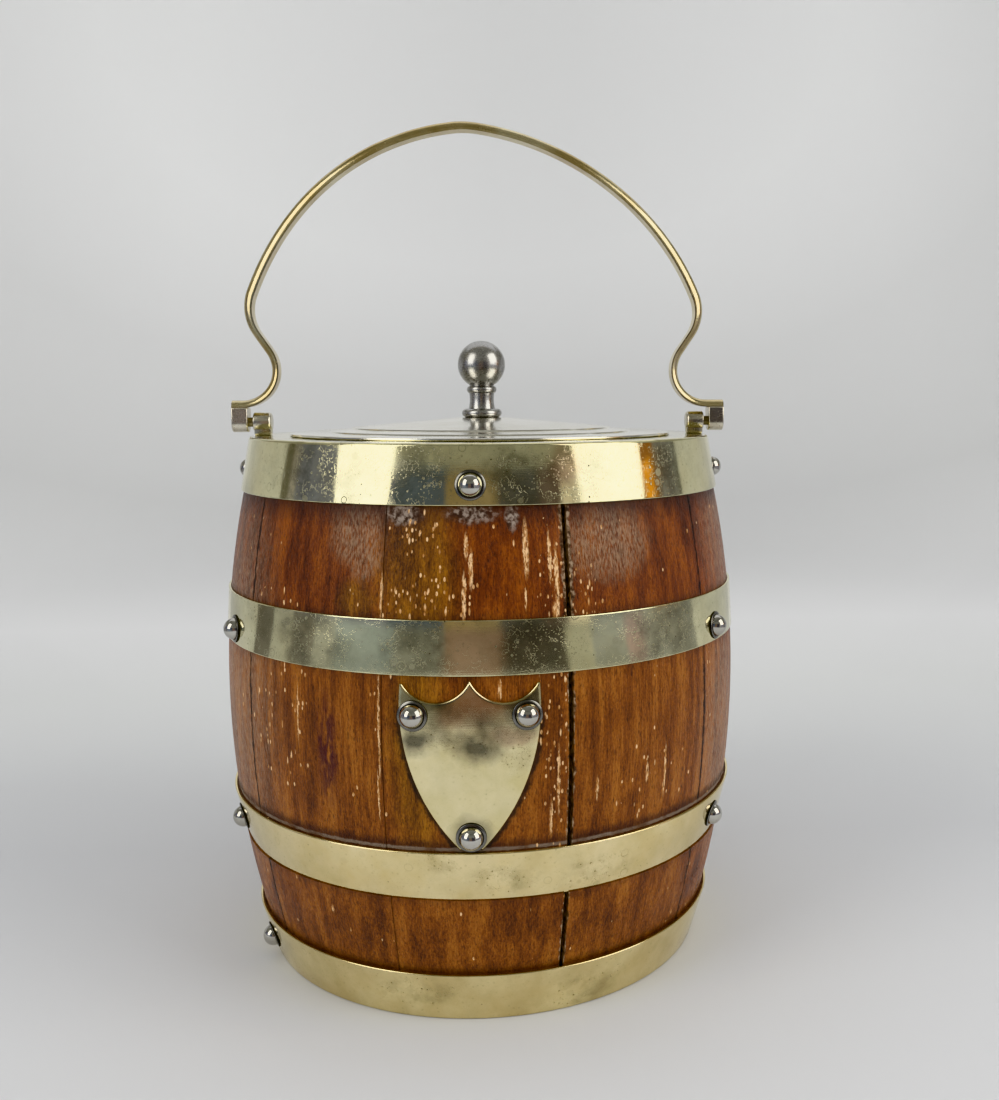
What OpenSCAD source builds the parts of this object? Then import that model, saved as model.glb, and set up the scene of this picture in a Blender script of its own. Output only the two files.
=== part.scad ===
// Oak biscuit barrel with plated metal mounts, a porcelain liner, a lift-off lid and a swing handle.
// Millimetres. +Z is up, the front with the shield faces -Y, and the origin is the centre of the foot
// on the table. Angles round the barrel are counted from the front (-Y) towards +X.

/* [Barrel] */
// Radius of the oak at its widest
belly_r = 74.95; // [74.5:0.05:75.2]
// Height of the widest place
belly_z = 79; // [77:0.5:81]
// Radius of the staves' bow from top to bottom
bow_r = 262; // [255:1:275]
// Height of the jar's rim
rim_z = 148.5; // [147:0.5:150]
// Thickness of a stave
stave_t = 8.4; // [7.5:0.1:9]
// Number of staves
stave_count = 10; // [10:1:12]
// Angle of the open joint in front, from the centre of the front
open_joint = 16.4; // [14:0.2:18]
// Width of the joint that has opened
open_gap = 1.25; // [0.6:0.05:1.6]
// Width of a sound joint
joint_gap = 0.16; // [0.1:0.02:0.4]
// Thickness of the oak bottom
board_t = 6; // [5:0.5:8]

/* [Metal bands] */
// Thickness of the band metal
band_t = 0.8; // [0.6:0.05:1]
// Outer radius of the rim band at its top and at its lower edge
rim_band_r = [67.5, 70.1]; // [60:0.05:80]
// Height of the rim band's lower edge
rim_band_z = 133.5; // [133:0.5:135]
// Outer radii of the upper hoop, lower edge and upper edge
upper_hoop_r = [75, 74.25]; // [70:0.05:80]
// Heights of the upper hoop's edges
upper_hoop_z = [92.8, 106.4]; // [90:0.1:110]
// Outer radii of the lower hoop, lower edge and upper edge
lower_hoop_r = [70.95, 74.4]; // [70:0.05:80]
// Heights of the lower hoop's edges
lower_hoop_z = [35.1, 48.5]; // [30:0.1:50]
// Outer radii of the base band, lower edge and upper edge
base_band_r = [63.9, 68.1]; // [60:0.05:75]
// Height of the base band
base_band_h = 13.8; // [13:0.1:14]
// Radius of the mouth through the rim
mouth_r = 53.8; // [53.5:0.1:54]
// Inner radius of the foot that is turned under the base band
foot_inner_r = 57.5; // [56:0.5:59]

/* [Dome-head pins] */
// Angles of the pins in the rim band
rim_pins = [-2.5, 87.5, 177.5, 267.5]; // [-180:0.5:360]
// Angles of the pins in the upper hoop
upper_hoop_pins = [-64.5, 58, 177]; // [-180:0.5:360]
// Angles of the pins in the lower hoop
lower_hoop_pins = [-70, 61.5, 177]; // [-180:0.5:360]
// Angles of the pins in the base band
base_band_pins = [-67, 177]; // [-180:0.5:360]
// Angle of the base band hole whose pin is lost
lost_pin = 62; // [55:1:70]
// Radius of a pin's thin collar
pin_collar_r = 3.8; // [3.4:0.1:4]
// Height of a pin's head
pin_head_h = 3.2; // [2.6:0.1:3.4]

/* [Shield] */
// Angle of the shield's middle
shield_angle = -2.8; // [-5:0.2:0]
// Height of the shield's widest place
shield_z = 85.8; // [85:0.2:87]
// Half the width of the shield
shield_half_w = 17.3; // [17:0.1:17.8]
// Radius of the shield's long sides
shield_side_r = 53.2; // [52:0.2:55]
// Thickness of the shield
shield_t = 0.9; // [0.7:0.05:1.1]

/* [Liner] */
// Outer radius of the porcelain liner at its mouth
liner_r = 57; // [56.8:0.1:57.1]
// Wall of the liner
liner_wall = 3.2; // [3:0.1:3.2]

/* [Lid] */
// Radius of the lid
lid_r = 56.2; // [55.8:0.1:56.4]
// Thickness of the lid's sheet
lid_t = 0.8; // [0.7:0.05:0.9]
// Radius of the outer step
step_outer_r = 44.6; // [42:0.2:46]
// Radius of the inner step
step_inner_r = 38.4; // [36:0.2:40]
// Height of one step
step_h = 0.4; // [0.3:0.05:0.5]
// Height of the lid's crown over the rim
crown_h = 5; // [4.5:0.1:5.5]
// Depth of the collar that drops into the mouth
collar_h = 7; // [5:0.5:8]

/* [Knob] */
// Radius of the ball
ball_r = 7.05; // [6.8:0.05:7.2]
// Height of the ball's centre over the lid's crown
ball_h = 15.7; // [15.4:0.1:16]

/* [Swing handle] */
// Height of the pivots over the rim
pivot_h = 3.8; // [3.8:0.1:4]
// Height of the arch over the rim, to the middle of its bar
arch_h = 89.95; // [89.5:0.05:90.5]
// Radius of the arch's crown
crown_r = 28; // [27:0.5:30]
// Radius of the arch's sides
side_r = 78; // [77.5:0.1:78.5]
// Width of the half-round bar
bar_w = 4.8; // [4:0.1:4.8]
// Thickness of the half-round bar in the arch
bar_t = 2.8; // [2.4:0.1:3]
// Thickness of the bar's legs and ends
bar_leg_t = 2.2; // [2:0.1:2.4]
// Radius of the outward bow under the arch
kink_r = 12.6; // [12:0.1:13]
// Radius of the inward bend over the pivot
bend_r = 9.9; // [9.6:0.1:10]
// How far the arch is bent to the left, for the square of each mm above its kinks
arch_sway = 0.001; // [0:0.0001:0.001]
// Radius of the pivot pins
pivot_r = 1.4; // [1.3:0.05:1.6]

/* [Hidden] */
$fn = 180;

// Staves
stave_z = [1, rim_z - 1];           // the staves' ends, inside the rim and the foot
stave_pitch = 360 / stave_count;
bow_fn = 720;                       // sides of the large bow circle
bed_play = 0.05;                    // air between a hoop and its bed in the oak
croze_depth = 3;                    // depth of the groove that holds the bottom
croze_h = 4;                        // height of that groove
board_z = 7;                        // underside of the oak bottom

// Pins
shank_r = 0.8;
shank_len = 5;
pin_play = 0.02;
collar_t = 0.45;
dome_r = 3.0;
rim_pin_z = 138.5;
upper_hoop_pin_z = 97;
lower_hoop_pin_z = 41.6;
base_band_pin_z = 6.6;
shield_pin_z = [83.3, 52.8];
shield_pin_x = 13.7;                // the two upper pins, to either side of the shield's middle

// Liner
liner_z = board_z + board_t;        // it stands on the oak bottom
liner_top = rim_z - band_t - 0.2;
liner_foot_r = 54.5;

// Lid
crown_z = rim_z + crown_h;
crown_flat_r = 7;                   // flat seat under the knob
collar_t_lid = 0.8;
collar_play = 0.3;
stud_r = 1.5;
stud_play = 0.05;
washer_t = 0.6;
nut_t = 2.4;

// Handle
pivot_z = rim_z + pivot_h;
boss_r = 2.95;
boss_x = [68.6, 73.2];
seat_z = pivot_z + 4.2;             // flat on top of a boss, where the bar is brazed
run_z = seat_z + bar_leg_t / 2;
lug_r = 2.85;
lug_x = [61.9, 67.1];
lug_bore_x = 63;                    // bottom of the blind bore
pivot_play = 0.06;
crown_angle = 7.75;                 // half the angle of the crown's arc
kink_angle = 21.8;                  // direction of the side's end, where the bow under it begins
leg_heading = -124.3;               // direction of the straight stretch, downwards
arch_off = -1.1;                    // the whole arch stands a little to the left of its pivots
sway_from = 12;                     // height over the inward bends where the sideways bend begins

function bow_offset(z) = bow_r - sqrt(bow_r * bow_r - (z - belly_z) * (z - belly_z));
function barrel_r(z) = belly_r - bow_offset(z);
function along(p, a, b) = p[0] + (p[1] - p[0]) * (b - a[0]) / (a[1] - a[0]);
function arc(cx, cy, r, a0, a1, n) =
    [for (i = [0:n]) let (a = a0 + (a1 - a0) * i / n) [cx + r * cos(a), cy + r * sin(a)]];

// Turns a part that is drawn in front of +X to an angle round the barrel
module at_angle(a) rotate([0, 0, a - 90]) children();

// Stands a pin on a cone that goes through radius r at height z and widens by slope per mm
module on_cone(a, r, z, slope)
    at_angle(a) translate([r, 0, z]) rotate([0, 90 + atan(slope), 0]) children();

// ---- Staves ----

// Section of a stave: two bowed lines cut off level at both ends
module stave_section()
    intersection() {
        translate([belly_r - bow_r, belly_z]) difference() {
            circle(r = bow_r, $fn = bow_fn);
            circle(r = bow_r - stave_t, $fn = bow_fn);
        }
        translate([belly_r / 2, stave_z[0]]) square([belly_r, stave_z[1] - stave_z[0]]);
    }

// Bed under a hoop: everything outside the hoop's inner face, between its edges
module hoop_bed(r, z)
    rotate_extrude() polygon([
        [r[0] - band_t - bed_play, z[0]], [r[1] - band_t - bed_play, z[1]],
        [belly_r + 5, z[1]], [belly_r + 5, z[0]]]);

// Groove round the inside that holds the edge of the bottom
module croze()
    translate([0, 0, board_z + (board_t - croze_h) / 2]) cylinder(r = croze_r() + 0.1, h = croze_h);

function stave_inner_r(z) = belly_r - bow_r + sqrt((bow_r - stave_t) * (bow_r - stave_t) - (z - belly_z) * (z - belly_z));
function croze_r() = stave_inner_r(board_z) + croze_depth;

// Angles of the staves' edges: stave i lies between joint i and joint i + 1
function joint_angle(i) = open_joint + (i - 1) * stave_pitch;
function half_gap(i) = (i == 1 || i == stave_count + 1 ? open_gap : joint_gap) / 2 / belly_r * 180 / PI;
function in_stave(i, a) =
    let (d = (a - joint_angle(i)) - 360 * floor((a - joint_angle(i)) / 360)) d < stave_pitch;

module pin_hole(a, r, z, slope)
    on_cone(a, r, z, slope)
        translate([0, 0, -shank_len - 0.3]) cylinder(r = shank_r + pin_play, h = shank_len + 4, $fn = 32);

module stave(i)
    color("peru") difference() {
        at_angle(joint_angle(i) + half_gap(i))
            rotate_extrude(angle = stave_pitch - half_gap(i) - half_gap(i + 1)) stave_section();
        hoop_bed([rim_band_r[1], rim_band_r[0]], [rim_band_z, rim_z]);
        hoop_bed(upper_hoop_r, upper_hoop_z);
        hoop_bed(lower_hoop_r, lower_hoop_z);
        hoop_bed(base_band_r, [0, base_band_h]);
        croze();
        for (a = rim_pins) if (in_stave(i, a)) rim_hole(a);
        for (a = upper_hoop_pins) if (in_stave(i, a)) upper_hoop_hole(a);
        for (a = lower_hoop_pins) if (in_stave(i, a)) lower_hoop_hole(a);
        for (a = concat(base_band_pins, [lost_pin])) if (in_stave(i, a)) base_band_hole(a);
        for (p = shield_pin_places()) if (in_stave(i, p[0])) shield_hole(p);
    }

module base_board()
    color("sienna") translate([0, 0, board_z]) {
        cylinder(r = stave_inner_r(board_z) - 0.2, h = board_t);
        translate([0, 0, (board_t - croze_h) / 2 + 0.1]) cylinder(r = croze_r() - 0.1, h = croze_h - 0.2);
    }

// ---- Metal bands ----

function rim_slope() = (rim_band_r[0] - rim_band_r[1]) / (rim_z - rim_band_z);
function hoop_slope(r, z) = (r[1] - r[0]) / (z[1] - z[0]);
function rim_r(z) = along([rim_band_r[1], rim_band_r[0]], [rim_band_z, rim_z], z);

module rim_hole(a) pin_hole(a, rim_r(rim_pin_z), rim_pin_z, rim_slope());
module upper_hoop_hole(a)
    pin_hole(a, along(upper_hoop_r, upper_hoop_z, upper_hoop_pin_z), upper_hoop_pin_z,
        hoop_slope(upper_hoop_r, upper_hoop_z));
module lower_hoop_hole(a)
    pin_hole(a, along(lower_hoop_r, lower_hoop_z, lower_hoop_pin_z), lower_hoop_pin_z,
        hoop_slope(lower_hoop_r, lower_hoop_z));
module base_band_hole(a)
    pin_hole(a, along(base_band_r, [0, base_band_h], base_band_pin_z), base_band_pin_z,
        hoop_slope(base_band_r, [0, base_band_h]));

// Plain conical strip
module strip(r, z)
    rotate_extrude() polygon([
        [r[0] - band_t, z[0]], [r[0], z[0]], [r[1], z[1]], [r[1] - band_t, z[1]]]);

// The rim band is turned in over the ends of the staves, with a round shoulder, and forms the mouth
module rim_band() {
    shoulder = 0.9;
    lip = band_t / 2;
    color("darkkhaki") difference() {
        rotate_extrude() polygon(concat(
            [[rim_band_r[1] - band_t, rim_band_z], [rim_band_r[1], rim_band_z]],
            arc(rim_band_r[0] - shoulder, rim_z - shoulder, shoulder, 0, 90, 8),
            arc(mouth_r + lip, rim_z - lip, lip, 90, 270, 8),
            [[rim_band_r[0] - band_t, rim_z - band_t]]));
        for (a = rim_pins) rim_hole(a);
    }
}

module upper_hoop()
    color("darkkhaki") difference() {
        strip(upper_hoop_r, upper_hoop_z);
        for (a = upper_hoop_pins) upper_hoop_hole(a);
    }

module lower_hoop()
    color("darkkhaki") difference() {
        strip(lower_hoop_r, lower_hoop_z);
        for (a = lower_hoop_pins) lower_hoop_hole(a);
    }

// The base band is turned under into a flat foot that the barrel stands on
module base_band()
    color("darkkhaki") difference() {
        union() {
            strip(base_band_r, [0, base_band_h]);
            difference() {
                cylinder(r = base_band_r[0] - 0.2, h = band_t);
                translate([0, 0, -1]) cylinder(r = foot_inner_r, h = band_t + 2);
            }
        }
        for (a = concat(base_band_pins, [lost_pin])) base_band_hole(a);
    }

// ---- Pins ----

// Pin with a round head on a thin collar, standing on z = 0
module dome_pin() {
    cap_z = pin_head_h - dome_r;
    rotate_extrude($fn = 64) intersection() {
        union() {
            polygon([[0, 0], [pin_collar_r, 0], [pin_collar_r, 0.2], [dome_r, collar_t], [0, collar_t]]);
            translate([0, -shank_len]) square([shank_r, shank_len + collar_t]);
            intersection() {
                translate([0, cap_z]) circle(r = dome_r);
                square([dome_r + 1, pin_head_h + 1]);
            }
        }
        translate([0, -shank_len]) square([pin_collar_r, shank_len + pin_head_h]);
    }
}

module rim_band_pins()
    color("silver") for (a = rim_pins) on_cone(a, rim_r(rim_pin_z), rim_pin_z, rim_slope()) dome_pin();

module upper_hoop_pins()
    color("silver") for (a = upper_hoop_pins)
        on_cone(a, along(upper_hoop_r, upper_hoop_z, upper_hoop_pin_z), upper_hoop_pin_z,
            hoop_slope(upper_hoop_r, upper_hoop_z)) dome_pin();

module lower_hoop_pins()
    color("silver") for (a = lower_hoop_pins)
        on_cone(a, along(lower_hoop_r, lower_hoop_z, lower_hoop_pin_z), lower_hoop_pin_z,
            hoop_slope(lower_hoop_r, lower_hoop_z)) dome_pin();

module base_band_pins()
    color("silver") for (a = base_band_pins)
        on_cone(a, along(base_band_r, [0, base_band_h], base_band_pin_z), base_band_pin_z,
            hoop_slope(base_band_r, [0, base_band_h])) dome_pin();

// ---- Shield ----

shield_gap = 0.1;                   // air between the shield and the bow of the oak
scallop_r = 9.2;
scallop_x = 8.5;
scallop_z = 95.7;
shield_tip_z = 49.4;
shield_horn_z = 91;                 // the two outer horns are lower than the cusp in the middle
shield_cusp_z = 92.4;

// Pointed outline with two scallops along its top, drawn in x and z
module shield_outline()
    difference() {
        intersection() {
            translate([shield_half_w - shield_side_r, shield_z]) circle(r = shield_side_r, $fn = bow_fn);
            translate([shield_side_r - shield_half_w, shield_z]) circle(r = shield_side_r, $fn = bow_fn);
            union() {
                translate([-shield_half_w - 1, shield_tip_z])
                    square([2 * shield_half_w + 2, shield_horn_z - shield_tip_z]);
                translate([-scallop_x, shield_tip_z]) square([2 * scallop_x, shield_cusp_z - shield_tip_z]);
            }
        }
        for (s = [-1, 1]) translate([s * scallop_x, scallop_z]) circle(r = scallop_r);
    }

// Bowed shell on the oak, as thick as the shield
module shield_shell()
    rotate([0, 0, -90 - 20]) rotate_extrude(angle = 40) intersection() {
        translate([belly_r - bow_r, belly_z]) difference() {
            circle(r = bow_r + shield_gap + shield_t, $fn = bow_fn);
            circle(r = bow_r + shield_gap, $fn = bow_fn);
        }
        translate([belly_r / 2, shield_tip_z - 2]) square([belly_r, shield_cusp_z - shield_tip_z + 4]);
    }

module shield()
    color("darkkhaki") difference() {
        rotate([0, 0, shield_angle]) intersection() {
            shield_shell();
            rotate([90, 0, 0]) linear_extrude(belly_r + 10) shield_outline();
        }
        for (p = shield_pin_places()) shield_hole(p);
    }

// Angle and height of each of the shield's pins
function shield_pin_places() =
    let (turn = asin(shield_pin_x / belly_r))
    [[shield_angle - turn, shield_pin_z[0]], [shield_angle + turn, shield_pin_z[0]],
        [shield_angle, shield_pin_z[1]]];
function bow_slope(z) = -(z - belly_z) / bow_r;
function shield_face_r(z) = barrel_r(z) + shield_gap + shield_t;

module shield_hole(p) pin_hole(p[0], shield_face_r(p[1]), p[1], bow_slope(p[1]));

module shield_pins()
    color("silver") for (p = shield_pin_places())
        on_cone(p[0], shield_face_r(p[1]) + 0.03, p[1], bow_slope(p[1])) dome_pin();

// ---- Porcelain liner ----

// Cup with a round lip, a little narrower at its foot
module liner() {
    lip = liner_wall / 2;
    floor_t = 4;
    color("whitesmoke") rotate_extrude() polygon(concat(
        [[0, liner_z], [liner_foot_r - 2, liner_z], [liner_foot_r, liner_z + 2]],
        arc(liner_r - lip, liner_top - lip, lip, 0, 180, 12),
        arc(liner_foot_r - liner_wall - 5, liner_z + floor_t + 5, 5, 0, -90, 8),
        [[0, liner_z + floor_t]]));
}

// ---- Lid ----

margin_z = rim_z + lid_t + 0.1;     // top of the lid's flat margin, beside the outer step
lower_slope_z = margin_z + step_h + 0.55;

// Upper face of the lid from its edge to its crown, in radius and height
function lid_face() = [
    [step_outer_r + 0.25, margin_z], [step_outer_r, margin_z + step_h],
    [step_inner_r + 0.25, lower_slope_z], [step_inner_r, lower_slope_z + step_h],
    [crown_flat_r, crown_z]];

function reversed(p) = [for (i = [len(p) - 1:-1:0]) p[i]];

module lid()
    color("darkkhaki") difference() {
        rotate_extrude() polygon(concat(
            [[0, crown_z - lid_t], [crown_flat_r, crown_z - lid_t]],
            [for (p = reversed(lid_face())) if (p[0] > crown_flat_r) [p[0] - 0.1, p[1] - lid_t]],
            [[lid_r - lid_t / 2, rim_z]],
            arc(lid_r - lid_t / 2, rim_z + lid_t / 2, lid_t / 2, -90, 90, 8),
            lid_face(),
            [[0, crown_z]]));
        translate([0, 0, crown_z - 5]) cylinder(r = stud_r + stud_play, h = 10, $fn = 48);
    }

// Ring soldered under the lid that drops into the mouth and keeps the lid in place
module lid_collar() {
    outer = mouth_r - collar_play;
    color("darkkhaki") rotate_extrude() polygon([
        [outer - collar_t_lid, rim_z - collar_h], [outer, rim_z - collar_h], [outer, rim_z - 0.02],
        [outer - 4, rim_z - 0.02], [outer - 4, rim_z - collar_t_lid],
        [outer - collar_t_lid, rim_z - collar_t_lid]]);
}

// Turned knob: foot ring, waist, bead and ball, with a stud that goes through the lid
module knob() {
    foot_r = 5.95;
    foot_h = 2.6;
    waist_r = 3.6;
    waist_curve_r = 12;
    bead_r = 1.15;
    bead_x = 3.3;
    bead_z = 8.3;
    neck_z = 9.6;
    stud_len = lid_t + washer_t + nut_t + 1;
    color("gray") translate([0, 0, crown_z]) rotate_extrude($fn = 96) {
        // foot ring
        square([foot_r - foot_h / 2, foot_h]);
        translate([foot_r - foot_h / 2, foot_h / 2]) circle(r = foot_h / 2, $fn = 48);
        // waist, hollowed by a long curve
        difference() {
            square([waist_r + 1, bead_z]);
            translate([waist_r + waist_curve_r, (foot_h + bead_z) / 2])
                circle(r = waist_curve_r, $fn = 240);
        }
        // bead and neck
        square([bead_x + 0.3, neck_z + 1]);
        translate([bead_x, bead_z]) circle(r = bead_r, $fn = 48);
        // ball
        intersection() {
            translate([0, ball_h]) circle(r = ball_r, $fn = 120);
            translate([0, neck_z]) square([ball_r + 1, 2 * ball_r + 2]);
        }
        // stud
        translate([0, -stud_len]) square([stud_r, stud_len + 1]);
    }
}

module knob_washer()
    color("darkkhaki") translate([0, 0, crown_z - lid_t - washer_t - 0.02]) difference() {
        cylinder(r = 4.2, h = washer_t, $fn = 64);
        translate([0, 0, -1]) cylinder(r = stud_r + stud_play, h = washer_t + 2, $fn = 48);
    }

module knob_nut()
    color("darkkhaki") translate([0, 0, crown_z - lid_t - washer_t - nut_t - 0.04]) difference() {
        cylinder(r = 3.2, h = nut_t, $fn = 6);
        translate([0, 0, -1]) cylinder(r = stud_r + 0.02, h = nut_t + 2, $fn = 48);
    }

// ---- Lugs and pivots ----

// Mirrors a part that is drawn on the right to the side s
module on_side(s) if (s < 0) mirror([1, 0, 0]) children(); else children();

// Barrel along X from x[0] to x[1], with its edges rounded by e at the inner and outer end
module round_bar(r, x, e_in, e_out)
    translate([x[0], 0, pivot_z]) rotate([0, 90, 0]) rotate_extrude($fn = 96) polygon(concat(
        [[0, 0]], arc(r - e_in, e_in, e_in, -90, 0, 8),
        arc(r - e_out, x[1] - x[0] - e_out, e_out, 0, 90, 8), [[0, x[1] - x[0]]]));

// Short barrel with a blind bore, on a neck soldered to the rim
module lug(s) {
    neck_w = 3.8;
    inset = 0.2;
    color("olive") on_side(s) difference() {
        union() {
            round_bar(lug_r, lug_x, 0.9, 0.3);
            translate([lug_x[0] + inset, -neck_w / 2, rim_z])
                cube([lug_x[1] - lug_x[0] - 2 * inset, neck_w, pivot_h]);
        }
        translate([lug_bore_x, 0, pivot_z]) rotate([0, 90, 0]) cylinder(r = pivot_r + pivot_play, h = 10, $fn = 64);
    }
}

module pivot_pin(s)
    color("olive") on_side(s) round_bar(pivot_r, [lug_bore_x + 0.4, boss_x[1]], 0.3, 0.3);

// Drilled boss, round below and square above, with a flat on its top for the handle's bar
module handle_boss(s) {
    inset = 0.1;
    color("goldenrod") on_side(s) difference() {
        union() {
            round_bar(boss_r, boss_x, 0.35, 0.35);
            translate([boss_x[0] + inset, inset - boss_r, pivot_z])
                cube([boss_x[1] - boss_x[0] - 2 * inset, 2 * (boss_r - inset), seat_z - pivot_z]);
        }
        translate([boss_x[0] - 1, 0, pivot_z]) rotate([0, 90, 0])
            cylinder(r = pivot_r + 0.01, h = 10, $fn = 64);
    }
}

// ---- Handle ----

// The right half of the bar's middle line: crown, side, bow under the arch, straight leg, bend, end
function heading(a) = [cos(a), sin(a)];
crown_c = [0, rim_z + arch_h - crown_r];
side_c = crown_c + (crown_r - side_r) * heading(90 - crown_angle);
kink_c = side_c + (side_r - kink_r) * heading(kink_angle);
leg_top = kink_c + kink_r * heading(leg_heading + 90);
leg_len = (run_z + bend_r - leg_top[1] - bend_r * sin(leg_heading + 90)) / sin(leg_heading);
bend_c = leg_top + leg_len * heading(leg_heading) + bend_r * heading(leg_heading + 90);

// Arc of the middle line as [x, z, nx, nz, t], where n points to the round side and t is the thickness
function curve(c, r, a0, a1, n, side, first, t0, t1) =
    [for (i = [first:n]) let (f = i / n, a = a0 + (a1 - a0) * f)
        [c[0] + r * cos(a), c[1] + r * sin(a), side * cos(a), side * sin(a), t0 + (t1 - t0) * f]];
right_half = concat(
    curve(crown_c, crown_r, 90, 90 - crown_angle, 3, 1, 0, bar_t, bar_t),
    curve(side_c, side_r, 90 - crown_angle, kink_angle, 16, 1, 1, bar_t, bar_t),
    curve(kink_c, kink_r, kink_angle, leg_heading + 90, 8, 1, 1, bar_t, bar_leg_t),
    curve(bend_c, bend_r, leg_heading - 90, -90, 14, -1, 0, bar_leg_t, bar_leg_t));
left_half = [for (i = [len(right_half) - 1:-1:1]) let (p = right_half[i]) [-p[0], p[1], -p[2], p[3], p[4]]];
bar_path = concat(
    [[-boss_x[1] - arch_off, run_z, 0, 1, bar_leg_t]], left_half, right_half,
    [[boss_x[1] - arch_off, run_z, 0, 1, bar_leg_t]]);

// Half-round section as [towards the round side, across], for a thickness and a width of 1
dome_steps = 12;
bar_section = [for (i = [0:dome_steps]) let (a = 180 * i / dome_steps) [sin(a) - 0.5, cos(a) / 2]];

// How far a height is pushed to the left
function sway(z) = arch_sway * pow(max(0, z - bend_c[1] - sway_from), 2);

// A point of the section on a point of the path
function bar_point(p, q) =
    let (x = p[0] + p[4] * q[0] * p[2], z = p[1] + p[4] * q[0] * p[3])
    [x + arch_off - sway(p[1]), bar_w * q[1], z];

module handle() {
    m = len(bar_section);
    n = len(bar_path);
    points = [for (p = bar_path) for (q = bar_section) bar_point(p, q)];
    sides = [for (i = [0:n - 2]) for (j = [0:m - 1]) let (k = (j + 1) % m)
        each [[i * m + j, (i + 1) * m + j, (i + 1) * m + k], [i * m + j, (i + 1) * m + k, i * m + k]]];
    ends = [[for (j = [0:m - 1]) j], [for (j = [m - 1:-1:0]) (n - 1) * m + j]];
    color("goldenrod") polyhedron(points, concat(sides, ends));
}

for (i = [1:stave_count]) stave(i);
base_board();
liner();
rim_band();
upper_hoop();
lower_hoop();
base_band();
rim_band_pins();
upper_hoop_pins();
lower_hoop_pins();
base_band_pins();
shield();
shield_pins();
lug(-1);  // lug_left
lug(1);  // lug_right
pivot_pin(-1);  // pivot_pin_left
pivot_pin(1);  // pivot_pin_right
handle_boss(-1);  // handle_boss_left
handle_boss(1);  // handle_boss_right
handle();
lid();
lid_collar();
knob();
knob_washer();
knob_nut();
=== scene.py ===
# %% [markdown]
# # Oak biscuit barrel
# A coopered oak barrel with worn silver-plated mounts, made to keep biscuits dry. The solids of
# each piece come packed from CAD. This lesson puts the visible skins on them: it models the
# pieces whose edges and curves catch the light, and gives every surface the finish that a
# hundred years of use left on it.

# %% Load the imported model
import math

import bpy
from mathutils import Matrix, Vector


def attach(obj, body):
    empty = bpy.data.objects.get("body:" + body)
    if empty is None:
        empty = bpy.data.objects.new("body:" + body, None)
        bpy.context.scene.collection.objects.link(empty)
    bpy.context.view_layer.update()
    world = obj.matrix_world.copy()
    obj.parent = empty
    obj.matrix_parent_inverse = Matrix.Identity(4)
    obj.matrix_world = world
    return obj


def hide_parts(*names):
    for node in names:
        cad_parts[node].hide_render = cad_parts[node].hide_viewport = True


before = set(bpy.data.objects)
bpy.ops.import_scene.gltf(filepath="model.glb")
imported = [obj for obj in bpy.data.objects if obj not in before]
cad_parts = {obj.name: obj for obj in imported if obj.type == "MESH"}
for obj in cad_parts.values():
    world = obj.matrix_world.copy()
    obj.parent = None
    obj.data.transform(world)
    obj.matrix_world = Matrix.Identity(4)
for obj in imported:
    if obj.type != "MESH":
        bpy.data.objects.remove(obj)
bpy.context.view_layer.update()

MM = 0.001

# %% [markdown]
# ## Camera
# The jar is looked at from just above its middle, from close by, so the hoops show as curves
# that open more and more towards the foot. The camera could be aimed at the jar with a Track To
# constraint. Here its axes are built from three angles instead, because that fixes the slight
# roll as well. The lens is given by its angle of view, and a small shift frames the jar.

# %% Camera
FRAME_HEIGHT = 1100                 # the picture is 999 wide and 1100 high
FRAME_WIDTH = 999
SENSOR = 36                         # mm, across the longer side
FOCAL = 1123.2                      # focal length in pixels of that picture
AXIS_AT = (576.9, 509.2)            # pixel that the lens axis goes through
PITCH, YAW, ROLL = 0.1006, 0.0839, -0.002
CAMERA_AT = (0, -0.34008, 0.15985)

camera_data = bpy.data.cameras.new("camera")
camera_data.sensor_width = SENSOR
camera_data.lens = FOCAL / FRAME_HEIGHT * camera_data.sensor_width
camera_data.shift_x = (FRAME_WIDTH / 2 - AXIS_AT[0]) / FRAME_HEIGHT
camera_data.shift_y = (AXIS_AT[1] - FRAME_HEIGHT / 2) / FRAME_HEIGHT
camera_data.clip_start = 0.01
camera = bpy.data.objects.new("camera", camera_data)
bpy.context.scene.collection.objects.link(camera)

forward = Vector((math.sin(YAW) * math.cos(PITCH), math.cos(YAW) * math.cos(PITCH),
                  -math.sin(PITCH)))
level = Vector((math.cos(YAW), -math.sin(YAW), 0))
upward = level.cross(forward)
right = math.cos(ROLL) * level + math.sin(ROLL) * upward
upward = right.cross(forward)
camera.matrix_world = Matrix.Translation(CAMERA_AT) @ Matrix(
    (right, upward, -forward)).transposed().to_4x4()
bpy.context.scene.camera = camera
print("lens", round(camera_data.lens, 2),
      "shift", round(camera_data.shift_x, 4), round(camera_data.shift_y, 4))

# %% [markdown]
# ## Colours and nodes
# A shader could be clicked together in the node editor. In code, one small function adds a node
# with its settings and links. Plain values go into the node's sockets in order, and a node that
# is given as a value is linked. Colours are written as sRGB hex values, as a paint chart gives
# them, and turned to linear light in one place, because the shader works in linear light.

# %% Colour and node helpers
CHAINED = ("ADD", "MULTIPLY", "MAXIMUM")


def linear(hex_colour):
    """sRGB hex to linear RGBA."""
    parts = [int(hex_colour[i:i + 2], 16) / 255 for i in (1, 3, 5)]
    return [c / 12.92 if c <= 0.04045 else ((c + 0.055) / 1.055) ** 2.4 for c in parts] + [1.0]


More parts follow.
